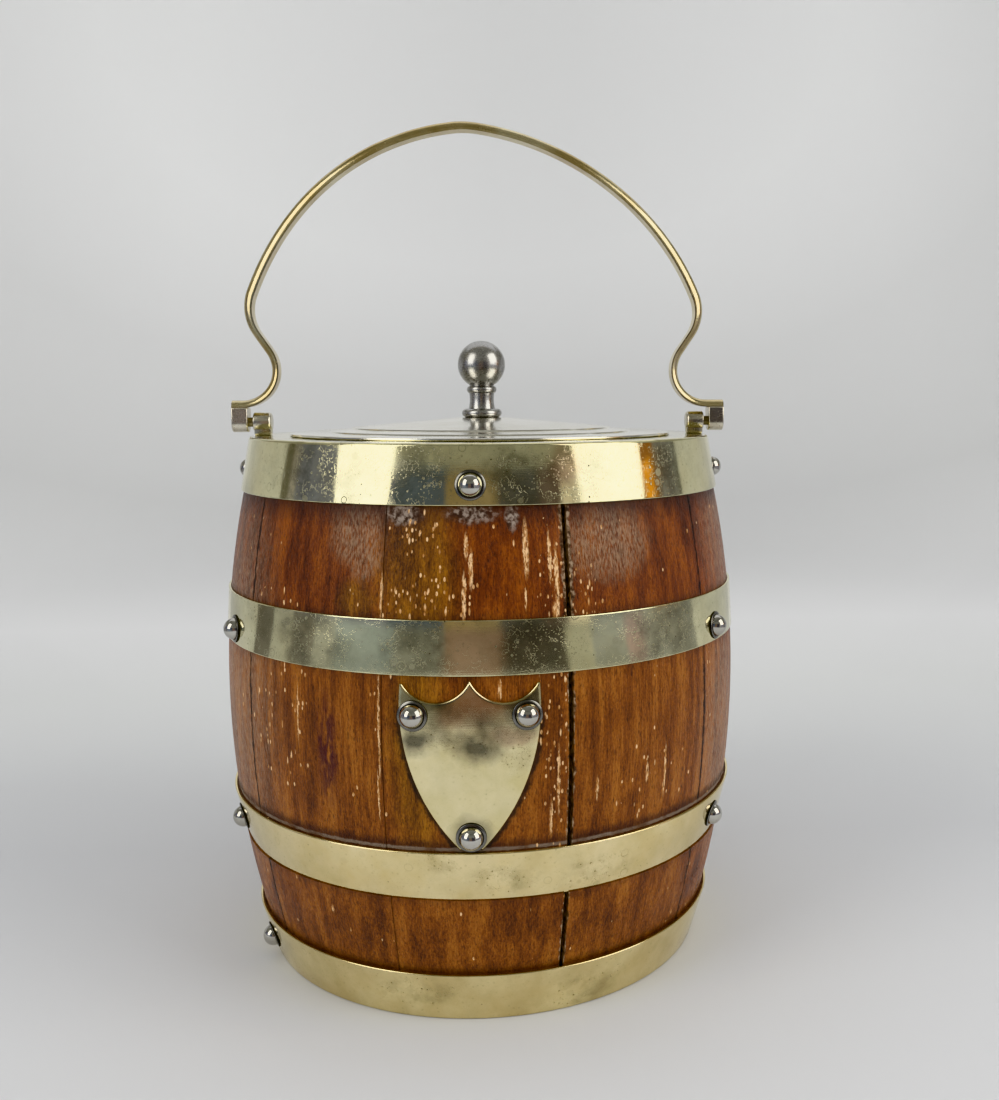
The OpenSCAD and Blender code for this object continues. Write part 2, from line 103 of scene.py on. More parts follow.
def add(tree, kind, *values, sockets=None, ramp=None, **settings):
    """Adds a node. Values go to its inputs in order, sockets by name; a node or socket is linked.
    A sum, product or maximum of more than two values becomes a chain of nodes."""
    if kind == "Math" and settings["operation"] in CHAINED and len(values) > 2:
        values = (add(tree, kind, *values[:-1], **settings), values[-1])
    node = tree.nodes.new("ShaderNode" + kind)
    for name, value in settings.items():
        setattr(node, name, value)
    for key, value in [*enumerate(values), *(sockets or {}).items()]:
        if isinstance(value, bpy.types.Node):
            value = value.outputs[0]
        if isinstance(value, bpy.types.NodeSocket):
            tree.links.new(value, node.inputs[key])
        elif value is not None:
            node.inputs[key].default_value = value
    for i, (position, hex_colour) in enumerate(ramp or ()):
        stops = node.color_ramp.elements
        stop = stops[i] if i < 2 else stops.new(position)
        stop.position = position
        stop.color = linear(hex_colour)
    return node


def new_material(name):
    """An empty material, and its node tree."""
    material = bpy.data.materials.new(name)
    material.use_nodes = True
    material.node_tree.nodes.clear()
    return material, material.node_tree


print("half grey is", round(linear("#808080")[0], 3), "in linear light")

# %% The place of a point, in mm
ROLL_R = 75                         # lengths round the barrel are told at this radius, in mm


def place_of(tree):
    """The point's place in mm."""
    return add(tree, "VectorMath", add(tree, "TexCoord").outputs["Object"], operation="SCALE",
               sockets={"Scale": 1 / MM})


def rolled_out(tree, place):
    """A place on the barrel's side rolled out flat: X goes round from the front, Y is height."""
    xyz = add(tree, "SeparateXYZ", place)
    front = add(tree, "Math", xyz.outputs["Y"], -1, operation="MULTIPLY")
    angle = add(tree, "Math", xyz.outputs["X"], front, operation="ARCTAN2")
    along = add(tree, "Math", angle, ROLL_R, operation="MULTIPLY")
    return add(tree, "CombineXYZ", along, xyz.outputs["Z"])

# %% [markdown]
# ## Table and wall
# The jar stands on a roll of pale matt paper that bends up into a wall, as in a studio.
# A plane with one bent edge would do for one view. Here the paper is a shallow bowl all round the
# jar, so that it looks the same from every side. Its section is drawn as an open line and spun.

# %% Modelling helpers for a section
def outline(name, points):
    """A ring of vertices set on an outline of points in mm."""
    bpy.ops.object.select_all(action="DESELECT")
    bpy.ops.mesh.primitive_circle_add(vertices=len(points), radius=MM, location=(0, 0, 0))
    piece = bpy.context.active_object
    piece.name = piece.data.name = name
    for vertex, point in zip(piece.data.vertices, points):
        vertex.co = Vector(point) * MM
    return piece


def edit(piece):
    """Goes into edit mode on one piece with all of it selected."""
    bpy.ops.object.select_all(action="DESELECT")
    bpy.context.view_layer.objects.active = piece
    piece.select_set(True)
    bpy.ops.object.mode_set(mode="EDIT")
    bpy.ops.mesh.select_mode(type="VERT")
    bpy.ops.mesh.select_all(action="SELECT")


def strand(name, points):
    """An open line through points in mm, left selected in edit mode."""
    piece = outline(name, points)
    edit(piece)
    bpy.ops.mesh.select_mode(type="EDGE")
    bpy.ops.mesh.select_all(action="DESELECT")
    bpy.ops.object.mode_set(mode="OBJECT")
    for edge in piece.data.edges:
        edge.select = set(edge.vertices) == {0, len(points) - 1}
    bpy.ops.object.mode_set(mode="EDIT")
    bpy.ops.mesh.delete(type="EDGE")
    bpy.ops.mesh.select_all(action="SELECT")
    return piece

# %% A wall that stands round the jar
WALL_STEP = 3.75                    # degrees between the wall's uprights


def standing_round(name, profile, start, end, material):
    """A wall with a profile of (radius, height) in mm, from one azimuth to another."""
    piece = strand(name, [(r, 0, z) for r, z in profile])
    # a positive angle spins clockwise, seen against the axis, so it is given as negative
    bpy.ops.mesh.spin(steps=round((end - start) / WALL_STEP), angle=-math.radians(end - start),
                      center=(0, 0, 0), axis=(0, 0, 1))
    bpy.ops.mesh.select_all(action="SELECT")
    bpy.ops.mesh.remove_doubles(threshold=0.01 * MM)
    bpy.ops.mesh.normals_make_consistent(inside=True)
    bpy.ops.object.mode_set(mode="OBJECT")
    piece.data.transform(Matrix.Rotation(math.radians(start - 90), 4, "Z"))
    bpy.ops.object.shade_smooth()
    piece.data.materials.append(material)
    return piece

# %% Section of the paper
TABLE_R, SWEEP_R, WALL_TOP = 700, 700, 1300
TABLE_Z = -0.05                     # a hair under the foot
SWEEP_STEPS = 12


def bowl_profile():
    """Table, bend and wall as (radius, height) in mm."""
    points = [(r, TABLE_Z) for r in (0.5, 120, TABLE_R)]
    for k in range(1, SWEEP_STEPS + 1):
        a = math.radians(90 * k / SWEEP_STEPS)
        points.append((TABLE_R + SWEEP_R * math.sin(a), SWEEP_R * (1 - math.cos(a)) + TABLE_Z))
    points.append((TABLE_R + SWEEP_R, WALL_TOP))
    return points

# %% Matt paper
# Uncoated paper scatters light evenly, so it shows hardly any gloss. Its grey is painted to fall
# off in soft bands from the table's front edge to the wall: painted shade where less light reaches
# it.
PAPER_FROM, PAPER_TO = -100, 1300   # mm, from in front of the jar to the wall behind
PAPER_TONES = ((0, "#D6D7D9"), (0.11, "#CBCCCE"), (0.26, "#D9DAD9"), (0.39, "#E6E6E6"),
               (0.71, "#D6D6D5"), (0.89, "#E2E2E1"), (1, "#F4F4F3"))
SHADED_AT, SHADED_CORE, SHADED_REACH = 80, 60, 480
paper, tree = new_material("matt_paper_sweep")
parts = add(tree, "SeparateXYZ", place_of(tree))
depth = add(tree, "MapRange", parts.outputs["Y"], PAPER_FROM, PAPER_TO, 0, 1)
shade = add(tree, "ValToRGB", depth, ramp=PAPER_TONES)
# painted shade: behind the jar the paper is painted darker near the middle, where the windows
# light it most
sideways = add(tree, "Math", parts.outputs["X"], SHADED_AT, operation="SUBTRACT")
sideways = add(tree, "Math", sideways, operation="ABSOLUTE")
fall = add(tree, "MapRange", sideways, SHADED_CORE, SHADED_REACH, 0.12, 0)
behind = add(tree, "MapRange", depth, 0.3, 0.6, 0, 1)
shaded = add(tree, "Math", fall, behind, operation="MULTIPLY")
shade = add(tree, "MixRGB", shaded, shade, linear("#707070"))
shader = add(tree, "BsdfPrincipled", sockets={
    "Base Color": shade, "Roughness": 0.75, "Specular IOR Level": 0.25})
add(tree, "OutputMaterial", shader)
standing_round("table_and_wall", bowl_profile(), 0, 360, paper)
print("paper:", 2 * (TABLE_R + SWEEP_R), "mm across")

# %% [markdown]
# ## The room that the metal mirrors
# Polished metal has no look of its own: its stripes are pictures of the room. A panorama of a
# real room on the world would do too, but here the room is built from a wall in plain colours,
# so each stripe can be put where it falls on the bands. Only mirrors see this wall. The camera
# and the soft light pass through it, so the backdrop stays pale and evenly lit.

# %% Helpers for areas on the wall and on the barrel
def patch(tree, rolled, centre, size, soft=0.3):
    """An oval area on the rolled-out side: 1 inside, falling to 0 across its soft edge."""
    at = add(tree, "VectorMath", rolled, (*centre, 0), operation="SUBTRACT")
    at = add(tree, "VectorMath", at, (size[0] / 2, size[1] / 2, 1), operation="DIVIDE")
    far = add(tree, "VectorMath", at, operation="LENGTH").outputs["Value"]
    return add(tree, "MapRange", far, 1 - soft, 1 + soft, 1, 0)


def layered(tree, colour, *layers):
    """Lays colours over a ground. Each layer is (where it lies, its colour)."""
    for mask, hex_colour in layers:
        colour = add(tree, "MixRGB", mask, colour, linear(hex_colour))
    return colour

# %% Colours round the room
ROOM_FROM, ROOM_TO = -145, 145      # degrees round the jar, 0 is in front
WALL_TONES = (
    (-145, "#CCCCCC"), (-104, "#74726E"), (-98, "#A8A4A8"), (-94, "#8488A0"), (-40, "#68728A"),
    (6, "#62626C"), (24, "#746A70"), (34, "#E6DCD2"), (44, "#898E9C"), (76, "#A0704A"),
    (88, "#8A8A94"), (100, "#9A9CA4"), (102, "#64666E"), (105, "#CCCCCC"))
FLOOR_TONES = (
    (-145, "#C4C5C8"), (-110, "#6E6C72"), (-98, "#A8A8AA"), (-86, "#76757C"), (-73, "#92949A"),
    (-63, "#828B98"), (-37, "#787A80"), (-16, "#8A7674"), (7, "#504E58"), (32, "#9C9C9A"),
    (44, "#828690"), (60, "#92828E"), (68, "#84868E"), (100, "#C4C5C8"))


def room_ramp(tree, along, stops):
    """Colours in steps round the jar, each from its azimuth on."""
    reach = [math.radians(a) * ROLL_R for a in (ROOM_FROM, ROOM_TO)]
    share = add(tree, "MapRange", along, *reach, 0, 1)
    steps = add(tree, "ValToRGB", share, ramp=[
        ((a - ROOM_FROM) / (ROOM_TO - ROOM_FROM), c) for a, c in stops])
    steps.color_ramp.interpolation = "CONSTANT"
    return steps

# %% Painted walls, floor, archway and ceiling
# Wall paint is matt, so the mirrored stripes have even colours with sharp edges.
WALL_FOOT, WALL_HEAD = 120, 545     # mm, where the floor ends and the ceiling begins
ARCH_AT, ARCH_WIDE, ARCH_SPRING, ARCH_RISE = -6.5, 30, 492, 96
walls, tree = new_material("room_walls_and_floor")
rolled = rolled_out(tree, place_of(tree))
parts = add(tree, "SeparateXYZ", rolled)
along, height = parts.outputs["X"], parts.outputs["Y"]
upper = room_ramp(tree, along, WALL_TONES)
lower = room_ramp(tree, along, FLOOR_TONES)
beside = add(tree, "Math", along, -ARCH_AT, operation="ADD")
beside = add(tree, "Math", beside, operation="ABSOLUTE")
within = add(tree, "Math", beside, ARCH_WIDE / 2, operation="LESS_THAN")
below = add(tree, "Math", height, ARCH_SPRING, operation="LESS_THAN")
arch = add(tree, "Math", patch(tree, rolled, (ARCH_AT, ARCH_SPRING), (ARCH_WIDE, ARCH_RISE), 0.04),
           add(tree, "Math", within, below, operation="MULTIPLY"), operation="MAXIMUM")
overhead = add(tree, "Math", height, WALL_HEAD, operation="GREATER_THAN")
upper = layered(tree, upper, (arch, "#9B8C7B"), (overhead, "#A9A8A0"))
is_wall = add(tree, "Math", height, WALL_FOOT, operation="GREATER_THAN")
add(tree, "OutputMaterial", add(tree, "BsdfPrincipled", sockets={
    "Base Color": add(tree, "MixRGB", is_wall, lower, upper), "Roughness": 0.9}))

# %% Room in front, behind the camera
ROOM_GAP = 4                        # mm inside the paper
CEILING_Z, CEILING_RINGS, CEILING_FROM, CEILING_TO = 1302, (1, 700, 1396), -112, 108
room_profile = [(360, 2), (480, 3)]
room_profile += [(r - ROOM_GAP, z + ROOM_GAP) for r, z in bowl_profile() if r > 600]
room = standing_round("room_in_front", room_profile, ROOM_FROM, ROOM_TO, walls)
ceiling = standing_round("room_ceiling", [(r, CEILING_Z) for r in CEILING_RINGS],
                         CEILING_FROM, CEILING_TO, walls)
for piece in (room, ceiling):
    piece.visible_camera = piece.visible_diffuse = piece.visible_shadow = False
print("room from", ROOM_FROM, "to", ROOM_TO, "degrees")

# %% [markdown]
# ## Windows and room light
# Two tall soft windows stand to the left and right in front, and a small warm lamp to the far
# right. Sun lamps would give hard shadows, so area lights of the windows' own size are used:
# they light the jar softly, and the bands mirror them as bright upright bars. An even pale world
# fills in the shadows.

# %% Windows
LIGHT_AT = Vector((0, 0, 0.12))     # the lights face this point
LIGHT_FAR = 1.0


def window(name, azimuth, elevation, width, height, power, colour):
    """A rectangular light that faces the jar. Azimuth 0 is in front of it, towards -Y."""
    a, e = math.radians(azimuth), math.radians(elevation)
    away = Vector((math.sin(a) * math.cos(e), -math.cos(a) * math.cos(e), math.sin(e)))
    data = bpy.data.lights.new(name, "AREA")
    data.shape = "RECTANGLE"
    data.size, data.size_y = width, height
    data.energy = power
    data.color = linear(colour)[:3]
    light = bpy.data.objects.new(name, data)
    light.matrix_world = (Matrix.Translation(LIGHT_AT + away * LIGHT_FAR) @
                          away.to_track_quat("Z", "Y").to_matrix().to_4x4())
    light.visible_camera = False
    bpy.context.scene.collection.objects.link(light)


# name, azimuth, elevation, width and height in metres, watts, colour
for values in (("window_left", -55, 26, 0.48, 0.79, 3.4, "#FFFDF6"),
               ("window_right", 61, 26, 0.61, 0.79, 4.3, "#FFFDF6"),
               ("lamp_on_the_right", 82, 8, 0.11, 0.15, 0.03, "#FFAC18")):
    window(*values)

# %% World
ROOM_LIGHT, ROOM_LIGHT_STRENGTH = "#F8F9FB", 0.92
world = bpy.data.worlds.new("room_light")
bpy.context.scene.world = world
world.use_nodes = True
world.node_tree.nodes.clear()
sky = add(world.node_tree, "Background", linear(ROOM_LIGHT), ROOM_LIGHT_STRENGTH)
add(world.node_tree, "OutputWorld", sky)
bpy.context.scene.view_settings.view_transform = "Khronos PBR Neutral"

# %% [markdown]
# ## Patterns that age a surface
# Stains, chips and corrosion could be painted on an image. Here they grow from noise, so that
# they have no seams and stay sharp from close by. Each pattern is given its real size in mm.
# Where a mark lies on one known place, an oval area with ragged edges says where.

# %% Clouds, specks and ragged areas
def clouds(tree, place, size, low=0.35, high=0.65, detail=3, rough=0.55):
    """A cloudy pattern with features of a size in mm, spread from 0 to 1 between two levels."""
    size = size if isinstance(size, tuple) else (size,) * 3
    grid = add(tree, "VectorMath", place, size, operation="DIVIDE")
    noise = add(tree, "TexNoise", grid, sockets={"Scale": 1, "Detail": detail, "Roughness": rough})
    return add(tree, "MapRange", noise, low, high, 0, 1)


def specks(tree, place, cell, share, inner, outer, hollow=False):
    """Round marks, one in a share of the cells. A mark fades from its inner to its outer radius,
    which are given in cells. A hollow one is a thin ring of that radius."""
    cell = cell if isinstance(cell, tuple) else (cell,) * 3
    grid = add(tree, "VectorMath", place, cell, operation="DIVIDE")
    cells = add(tree, "TexVoronoi", grid, sockets={"Scale": 1})
    far = cells.outputs["Distance"]
    if hollow:
        far = add(tree, "Math", far, hollow, operation="SUBTRACT")
        far = add(tree, "Math", far, operation="ABSOLUTE")
    chance = add(tree, "SeparateColor", cells.outputs["Color"])
    here = add(tree, "Math", chance, share, operation="LESS_THAN")
    mark = add(tree, "MapRange", far, inner, outer, 1, 0)
    return add(tree, "Math", here, mark, operation="MULTIPLY")


def patches(tree, rolled, soft, *areas):
    """Several oval areas, each (along, height, width, length) in mm."""
    areas = [patch(tree, rolled, area[:2], area[2:], soft) for area in areas]
    return add(tree, "Math", 0, *areas, operation="MAXIMUM")


def ragged(tree, place, rolled, size, reach):
    """Moves the rolled-out place about, so that areas get ragged edges."""
    grid = add(tree, "VectorMath", place, (size,) * 3, operation="DIVIDE")
    noise = add(tree, "TexNoise", grid, sockets={"Scale": 1, "Detail": 4, "Roughness": 0.6})
    shift = add(tree, "VectorMath", noise.outputs["Color"], (0.5, 0.5, 0.5), operation="SUBTRACT")
    return add(tree, "VectorMath", shift, (2 * reach, 2 * reach, 0), rolled,
               operation="MULTIPLY_ADD")

# %% [markdown]
# ## Worn silver plate on nickel silver
# The mounts are nickel silver, a pale yellow alloy of copper, zinc and nickel, with a thin coat of
# silver. Polishing has worn the silver through, so the colour wavers between white and yellow.
# A metal is simple to shade: it is fully metallic, its colour is its mirror's tint, and all else
# is roughness. So the work goes into where the mirror is dim: under a film, spots, dried drops,
# their rings, and the crooked lines along which damp has crept.

# %% Sizes of what lies on old plate, in mm
FILM, TONE, SMOKE = 9, 16, 7        # clouds of film, of wear and of smoky tarnish
LINE, LINE_AREA = 1.7, 3.4          # crooked corrosion lines, and the areas that have them
SPOT, FINE_SPOT, FINE_AREA = 1.3, 0.62, 5
DROP, RING, PIT = 4.5, 7, 1.9       # cells that may hold a dried drop, a ring, a pinhole
WAVE = 18                           # strip that was rolled and bent by hand isn't quite even
BRUSHED = (9, 0.2, 1)               # polishing lines; real ones are finer, these are drawn to show
PINHOLE = "#4A4234"

# %% Plate
def plate(name, clean, worn, dull, gloss, marks=1.0, waves=0.04, marked=(), smoked_and_shaded=(), blushed=(),
          smoke="#5E5C4A", blush="#B4907A", darkening=False):
    """Worn electroplate on nickel silver. It mirrors the room sharply where it is clean and dimly
    where a film, spots, rings or crooked corrosion lines lie on it. Areas can be marked more than
    the rest and blushed, some can be darkened with smoky tarnish and painted shadow, and dirt lies
    where the piece's dirt attribute says."""
    material, tree = new_material(name)
    place = place_of(tree)
    rolled = rolled_out(tree, place)
    uneven = ragged(tree, place, rolled, 5, 2.2)
    amount = marks * 0.35
    if marked:
        marked = patches(tree, uneven, 0.3, *marked)
        amount = add(tree, "MapRange", marked, 0, 1, 0.3 * marks, marks)
    film = clouds(tree, place, FILM, 0.42, 0.72, 6, 0.65)
    film = add(tree, "Math", film, amount, operation="MULTIPLY")

    # marks: lines, spots, drops and rings
    line = add(tree, "Math", clouds(tree, place, LINE, 0, 1, 2, 0.6), 0.5, operation="SUBTRACT")
    line = add(tree, "MapRange", add(tree, "Math", line, operation="ABSOLUTE"), 0.003, 0.012, 1, 0)
    line_area = clouds(tree, place, LINE_AREA, 0.48, 0.56, 2)
    line = add(tree, "Math", line, line_area, amount, 0.8, operation="MULTIPLY")
    fine = add(tree, "Math", specks(tree, place, FINE_SPOT, 0.4, 0.12, 0.36),
               clouds(tree, place, FINE_AREA, 0.42, 0.6, 3), operation="MULTIPLY")
    drop = add(tree, "Math", specks(tree, place, DROP, 0.22, 0.2, 0.26), 0.4, operation="MULTIPLY")
    mark = add(tree, "Math", specks(tree, place, SPOT, 0.22, 0.16, 0.3), fine, drop,
               specks(tree, place, RING, 0.3, 0.008, 0.022, 0.16), operation="MAXIMUM")
    mark = add(tree, "Math", mark, amount, operation="MULTIPLY")
    mark = add(tree, "Math", mark, line, operation="MAXIMUM")
    pit = add(tree, "Math", specks(tree, place, PIT, 0.16, 0.05, 0.13), min(1, marks * 0.7),
              operation="MULTIPLY")

    # colour
    tone = clouds(tree, place, TONE, 0.3, 0.7, 4, 0.6)
    colour = add(tree, "ValToRGB", tone, ramp=[(0.2, clean), (0.8, worn)])
    colour = layered(tree, colour, (film, dull), (mark, dull))
    if blushed:
        stain = add(tree, "Math", patches(tree, uneven, 0.4, *blushed), 0.5, operation="MULTIPLY")
        colour = layered(tree, colour, (stain, blush))
    dark = 0
    # smoke colour over these areas: smoky tarnish, and round the shield's pins painted shadow too
    if smoked_and_shaded:
        dark = add(tree, "Math", patches(tree, uneven, 0.55, *smoked_and_shaded),
                   clouds(tree, place, SMOKE, 0.2, 0.55, 2), 0.85, operation="MULTIPLY")
        colour = layered(tree, colour, (dark, smoke))
    colour = layered(tree, colour, (pit, PINHOLE))

    # roughness: how much each kind of mark adds to the clean gloss
    brushed = clouds(tree, rolled, BRUSHED, 0.3, 0.7, 3)
    added = [add(tree, "Math", what, share, operation="MULTIPLY")
             for what, share in ((film, 0.16), (mark, 0.4), (dark, 0.1), (brushed, 0.04))]
    rough = add(tree, "Math", *added, gloss, operation="ADD")
    if darkening:
        dirt = add(tree, "Attribute", attribute_name="dirt").outputs["Fac"]
        colour = layered(tree, colour, (dirt, "#1C1A14"))
        rough = add(tree, "Math", rough, add(tree, "Math", dirt, 0.45, operation="MULTIPLY"),
                    operation="MAXIMUM")

    # relief: waves, polishing lines, and marks that are eaten in
    slow = add(tree, "Bump", sockets={
        "Height": clouds(tree, place, WAVE, 0, 1, 1), "Strength": 1, "Distance": waves * MM})
    fine = add(tree, "Bump", sockets={
        "Height": brushed, "Strength": 0.5, "Distance": 0.005 * MM, "Normal": slow})
    sunk = add(tree, "Bump", sockets={
        "Height": add(tree, "Math", pit, mark, operation="ADD"), "Strength": 0.4,
        "Distance": -0.03 * MM, "Normal": fine})
    add(tree, "OutputMaterial", add(tree, "BsdfPrincipled", sockets={
        "Base Color": colour, "Metallic": 1.0, "Roughness": rough, "Normal": sunk}))
    print(name, "has", len(tree.nodes), "nodes")
    return material

# %% Plate of the rim band and upper hoop
# The silver is worn thin and still well polished. It gives the eye crisp pictures of the room,
# broken by spots and crooked lines where hands and damp reach it.
upper_plate = plate(
    "silver_plate_worn_to_nickel_silver", "#F5F0C6", "#E8E0B4", "#A8A48A", 0.035, 1.3,
    marked=((-45, 140, 30, 18), (-17, 141, 14, 16), (8, 140, 16, 14), (27, 140, 18, 16),
            (57, 140, 12, 16), (-17, 99, 16, 16), (12, 99, 16, 16), (48, 99, 26, 16),
            (-46, 99, 20, 16)),
    blushed=((22, 143, 8, 10),))

# %% Plate of the lower hoop and base band
# Lower down the silver has gone altogether. The bare alloy is yellower and duller: it shows
# broad soft light instead of pictures.
lower_plate = plate(
    "bare_nickel_silver_with_yellow_tarnish", "#F8E8B8", "#ECD9A2", "#B0A478", 0.08, 0.8,
    marked=((4, 41, 16, 8), (-11, 46, 8, 6), (30, 40, 20, 8)))
base_plate = plate(
    "bare_nickel_silver_foot", "#F0E0AE", "#DECB98", "#A89C74", 0.1, 0.8,
    marked=((30, 5, 20, 8), (-20, 8, 20, 8)))

# %% Plate of the shield
# Its middle is rubbed bright, and smoky tarnish stays round the pins, where no cloth gets. The
# dark rounds at the three pins are painted shadow of the pin heads as well.
shield_metal = plate(
    "smoked_and_shaded_plate_shield", "#F4E9BE", "#E4D7A4", "#A89C78", 0.08, 0.45, waves=0.05,
    marked=((8, 74, 8, 12), (-5, 79, 22, 12)),
    smoked_and_shaded=((-11.5, 84, 7, 9), (-4, 80, 17, 9), (-2, 75.5, 10, 7), (-16.5, 77, 10, 6),
            (-17.4, 83.3, 8.6, 8.6), (10.1, 83.3, 8.6, 8.6), (-3.7, 52.8, 8.6, 8.6)),
    blushed=((-2, 86, 12, 8), (-8, 84, 8, 6), (7, 78, 12, 4)), smoke="#5E5C54")

# %% Plate of the lid, knob and handle
# The lid keeps most of its silver: white, with clear pictures. The knob is grey with handling,
# and blurs them. The handle is worn to a brassy satin by fingers, and the lugs have tarnished.
lid_plate = plate("polished_plate_lid", "#F6F4EC", "#ECE9DE", "#CFC8AE", 0.13, 0.3, waves=0.02)
knob_plate = plate("grey_plate_knob", "#BEBDBA", "#A8A6A2", "#827F7A", 0.24, 0.6, waves=0.01)
handle_plate = plate(
    "brassy_plate_handle", "#E6DAB4", "#CCB888", "#8E8264", 0.16, 0.8, waves=0.02)
joint_plate = plate(
    "tarnished_plate_lugs", "#E6E0D0", "#C8C0AA", "#8E8672", 0.2, 1.0, waves=0.02)
fitting_plate = plate(
    "dull_plate_fittings", "#A49A7C", "#7E745A", "#5C543E", 0.28, 1.0, waves=0.01)

# %% Plate of the pins
# The domes are the brightest of all, because every wipe of a cloth crosses them. Old polish and
# dirt have set round their collars and draw a black ring there.
pin_plate = plate("bright_plate_pins", "#D2D0CA", "#BEBBB2", "#908C80", 0.05, 0.5, waves=0.01,
                  darkening=True)

# %% [markdown]
# ## Varnished oak
# The staves are quarter-sawn oak under old brown varnish. Oak shows long fibres, dark pores like
# pencil strokes and slow bands of growth, and varnish adds an orange depth and a soft gloss. One
# board texture on all staves would look like wallpaper, so each stave draws its grain from a
# place of its own. Then the colours go on in layers: grain, varnish, a painted sheen, dirt with
# painted shadow along the bands and round the shield, chips.

# %% Which stave a point is on, and how far it is from the nearest joint
STAVE_WIDE = math.radians(36) * ROLL_R
JOINT_AT = math.radians(16.4) * ROLL_R      # the open joint, right of the front
print("a stave is", round(STAVE_WIDE, 1), "mm wide")
varnished_oak, tree = new_material("varnished_quarter_sawn_oak")
place = place_of(tree)
rolled = rolled_out(tree, place)
along, height = (add(tree, "SeparateXYZ", rolled).outputs[axis] for axis in "XY")
count = add(tree, "Math", along, JOINT_AT, operation="SUBTRACT")
count = add(tree, "Math", count, STAVE_WIDE, operation="DIVIDE")
number = add(tree, "Math", add(tree, "Math", count, operation="FLOOR"), 10, 0, operation="WRAP")
chance = add(tree, "TexWhiteNoise", noise_dimensions="1D", sockets={"W": number})
from_joint = add(tree, "Math", count, 0.5, operation="PINGPONG")
from_joint = add(tree, "Math", from_joint, STAVE_WIDE, operation="MULTIPLY")
crumbled = clouds(tree, place, (1, 1, 2.5), 0.4, 0.7, 3, 0.7)
from_joint = add(tree, "Math", from_joint, crumbled, operation="SUBTRACT")
own = add(tree, "VectorMath", chance.outputs["Color"], (300, 300, 300), place,
          operation="MULTIPLY_ADD")

# %% Grain
# Sizes are (across, across, along the grain) in mm. Single fibres are hair-thin, so fibres and
# crazing are drawn about ten times as coarse, which is as fine as they can show.
FIBRE, GROWTH, MOTTLE = (0.42, 0.42, 6), (3, 3, 90), (11, 11, 26)
CRAZE, PORE, FLECK, FLECK_AREA = (0.4, 0.4, 0.8), (0.26, 0.26, 1.5), (1.5, 1.5, 3), 12
fibres = clouds(tree, own, FIBRE, 0.36, 0.64, 5, 0.65)
growth = clouds(tree, own, GROWTH, 0.36, 0.64, 3, 0.5)
mottle = clouds(tree, own, MOTTLE, 0.34, 0.66, 3, 0.5)
craze = clouds(tree, own, CRAZE, 0.38, 0.62, 4, 0.7)
pores = clouds(tree, own, PORE, 0.6, 0.7, 1)
flecks = add(tree, "Math", specks(tree, own, FLECK, 0.3, 0.1, 0.3),
             clouds(tree, own, FLECK_AREA, 0.42, 0.58), operation="MULTIPLY")
shares = [add(tree, "Math", what, share, operation="MULTIPLY")
          for what, share in ((fibres, 0.28), (growth, 0.3), (mottle, 0.24), (craze, 0.2))]
tone = add(tree, "Math", *shares, operation="ADD")

# %% Colours of the wood through the varnish
# Varnish is thickest and reddest at the top, worn lighter below, and amber on sunned staves.
TONES_AT = (0.2, 0.5, 0.8)
DEEP, WORN, AMBER = (("#441904", "#6B2C07", "#8E460D"), ("#50260A", "#804413", "#A6672E"),
                     ("#462605", "#784B0B", "#9E6C16"))
deep_oak, worn_oak, amber_oak = (
    add(tree, "ValToRGB", tone, ramp=zip(TONES_AT, tones)) for tones in (DEEP, WORN, AMBER))
uneven = ragged(tree, place, rolled, 6, 3)
sunned = add(tree, "Math",
             patches(tree, uneven, 0.4, (-17, 116, 21, 46), (-33, 110, 12, 10), (-17, 75, 14, 60)),
             add(tree, "Math", chance.outputs["Value"], 0.3, operation="MULTIPLY"),
             operation="MAXIMUM")
lower_part = add(tree, "MapRange", height, 110, 90, 0, 1)
colour = add(tree, "MixRGB", lower_part, deep_oak, worn_oak)
colour = add(tree, "MixRGB", add(tree, "Math", sunned, 0.8, operation="MULTIPLY"), colour,
             amber_oak)

# %% Old dirt above the bands, and painted shadow under them
# White is where the wood is darkened, black is clean wood. Above a band's upper edge it is old
# dirt with painted shade; under a band's lower edge it is painted shadow. The heights are the
# edges of the four bands.
GRIME_AND_SHADOW_BY_HEIGHT = (
    (13.8, "#FFFFFF"), (16.5, "#000000"), (33, "#000000"), (35.4, "#C0C0C0"), (48.4, "#FFFFFF"),
    (50.4, "#FFFFFF"), (52.2, "#000000"), (90.5, "#000000"), (92.9, "#A0A0A0"),
    (106.3, "#D0D0D0"), (108.6, "#000000"), (127.5, "#000000"), (132.5, "#FFFFFF"))
GRIME_AND_SHADOW_TOP = 150
swollen = ragged(tree, place, rolled, 2.4, 1.3)
swollen_parts = add(tree, "SeparateXYZ", swollen)
share = add(tree, "Math", swollen_parts.outputs["Y"], GRIME_AND_SHADOW_TOP, operation="DIVIDE")
darkening = add(tree, "ValToRGB", share, ramp=[(h / GRIME_AND_SHADOW_TOP, c) for h, c in GRIME_AND_SHADOW_BY_HEIGHT])
crust = patches(tree, swollen, 0.4, (-21, 131.5, 9, 5), (-3, 131.5, 12, 4), (7.4, 130.5, 3, 6))

# %% Dried polish on the ledge of the lower hoop
ledge_place = ragged(tree, place, rolled, 2, 0.4)
ledge_height = add(tree, "SeparateXYZ", ledge_place).outputs["Y"]
ledge = add(tree, "Math", add(tree, "MapRange", ledge_height, 49.4, 49.8, 1, 0),
            add(tree, "MapRange", ledge_height, 48.55, 48.75, 0, 1),
            clouds(tree, place, 6, 0.25, 0.5), operation="MULTIPLY")
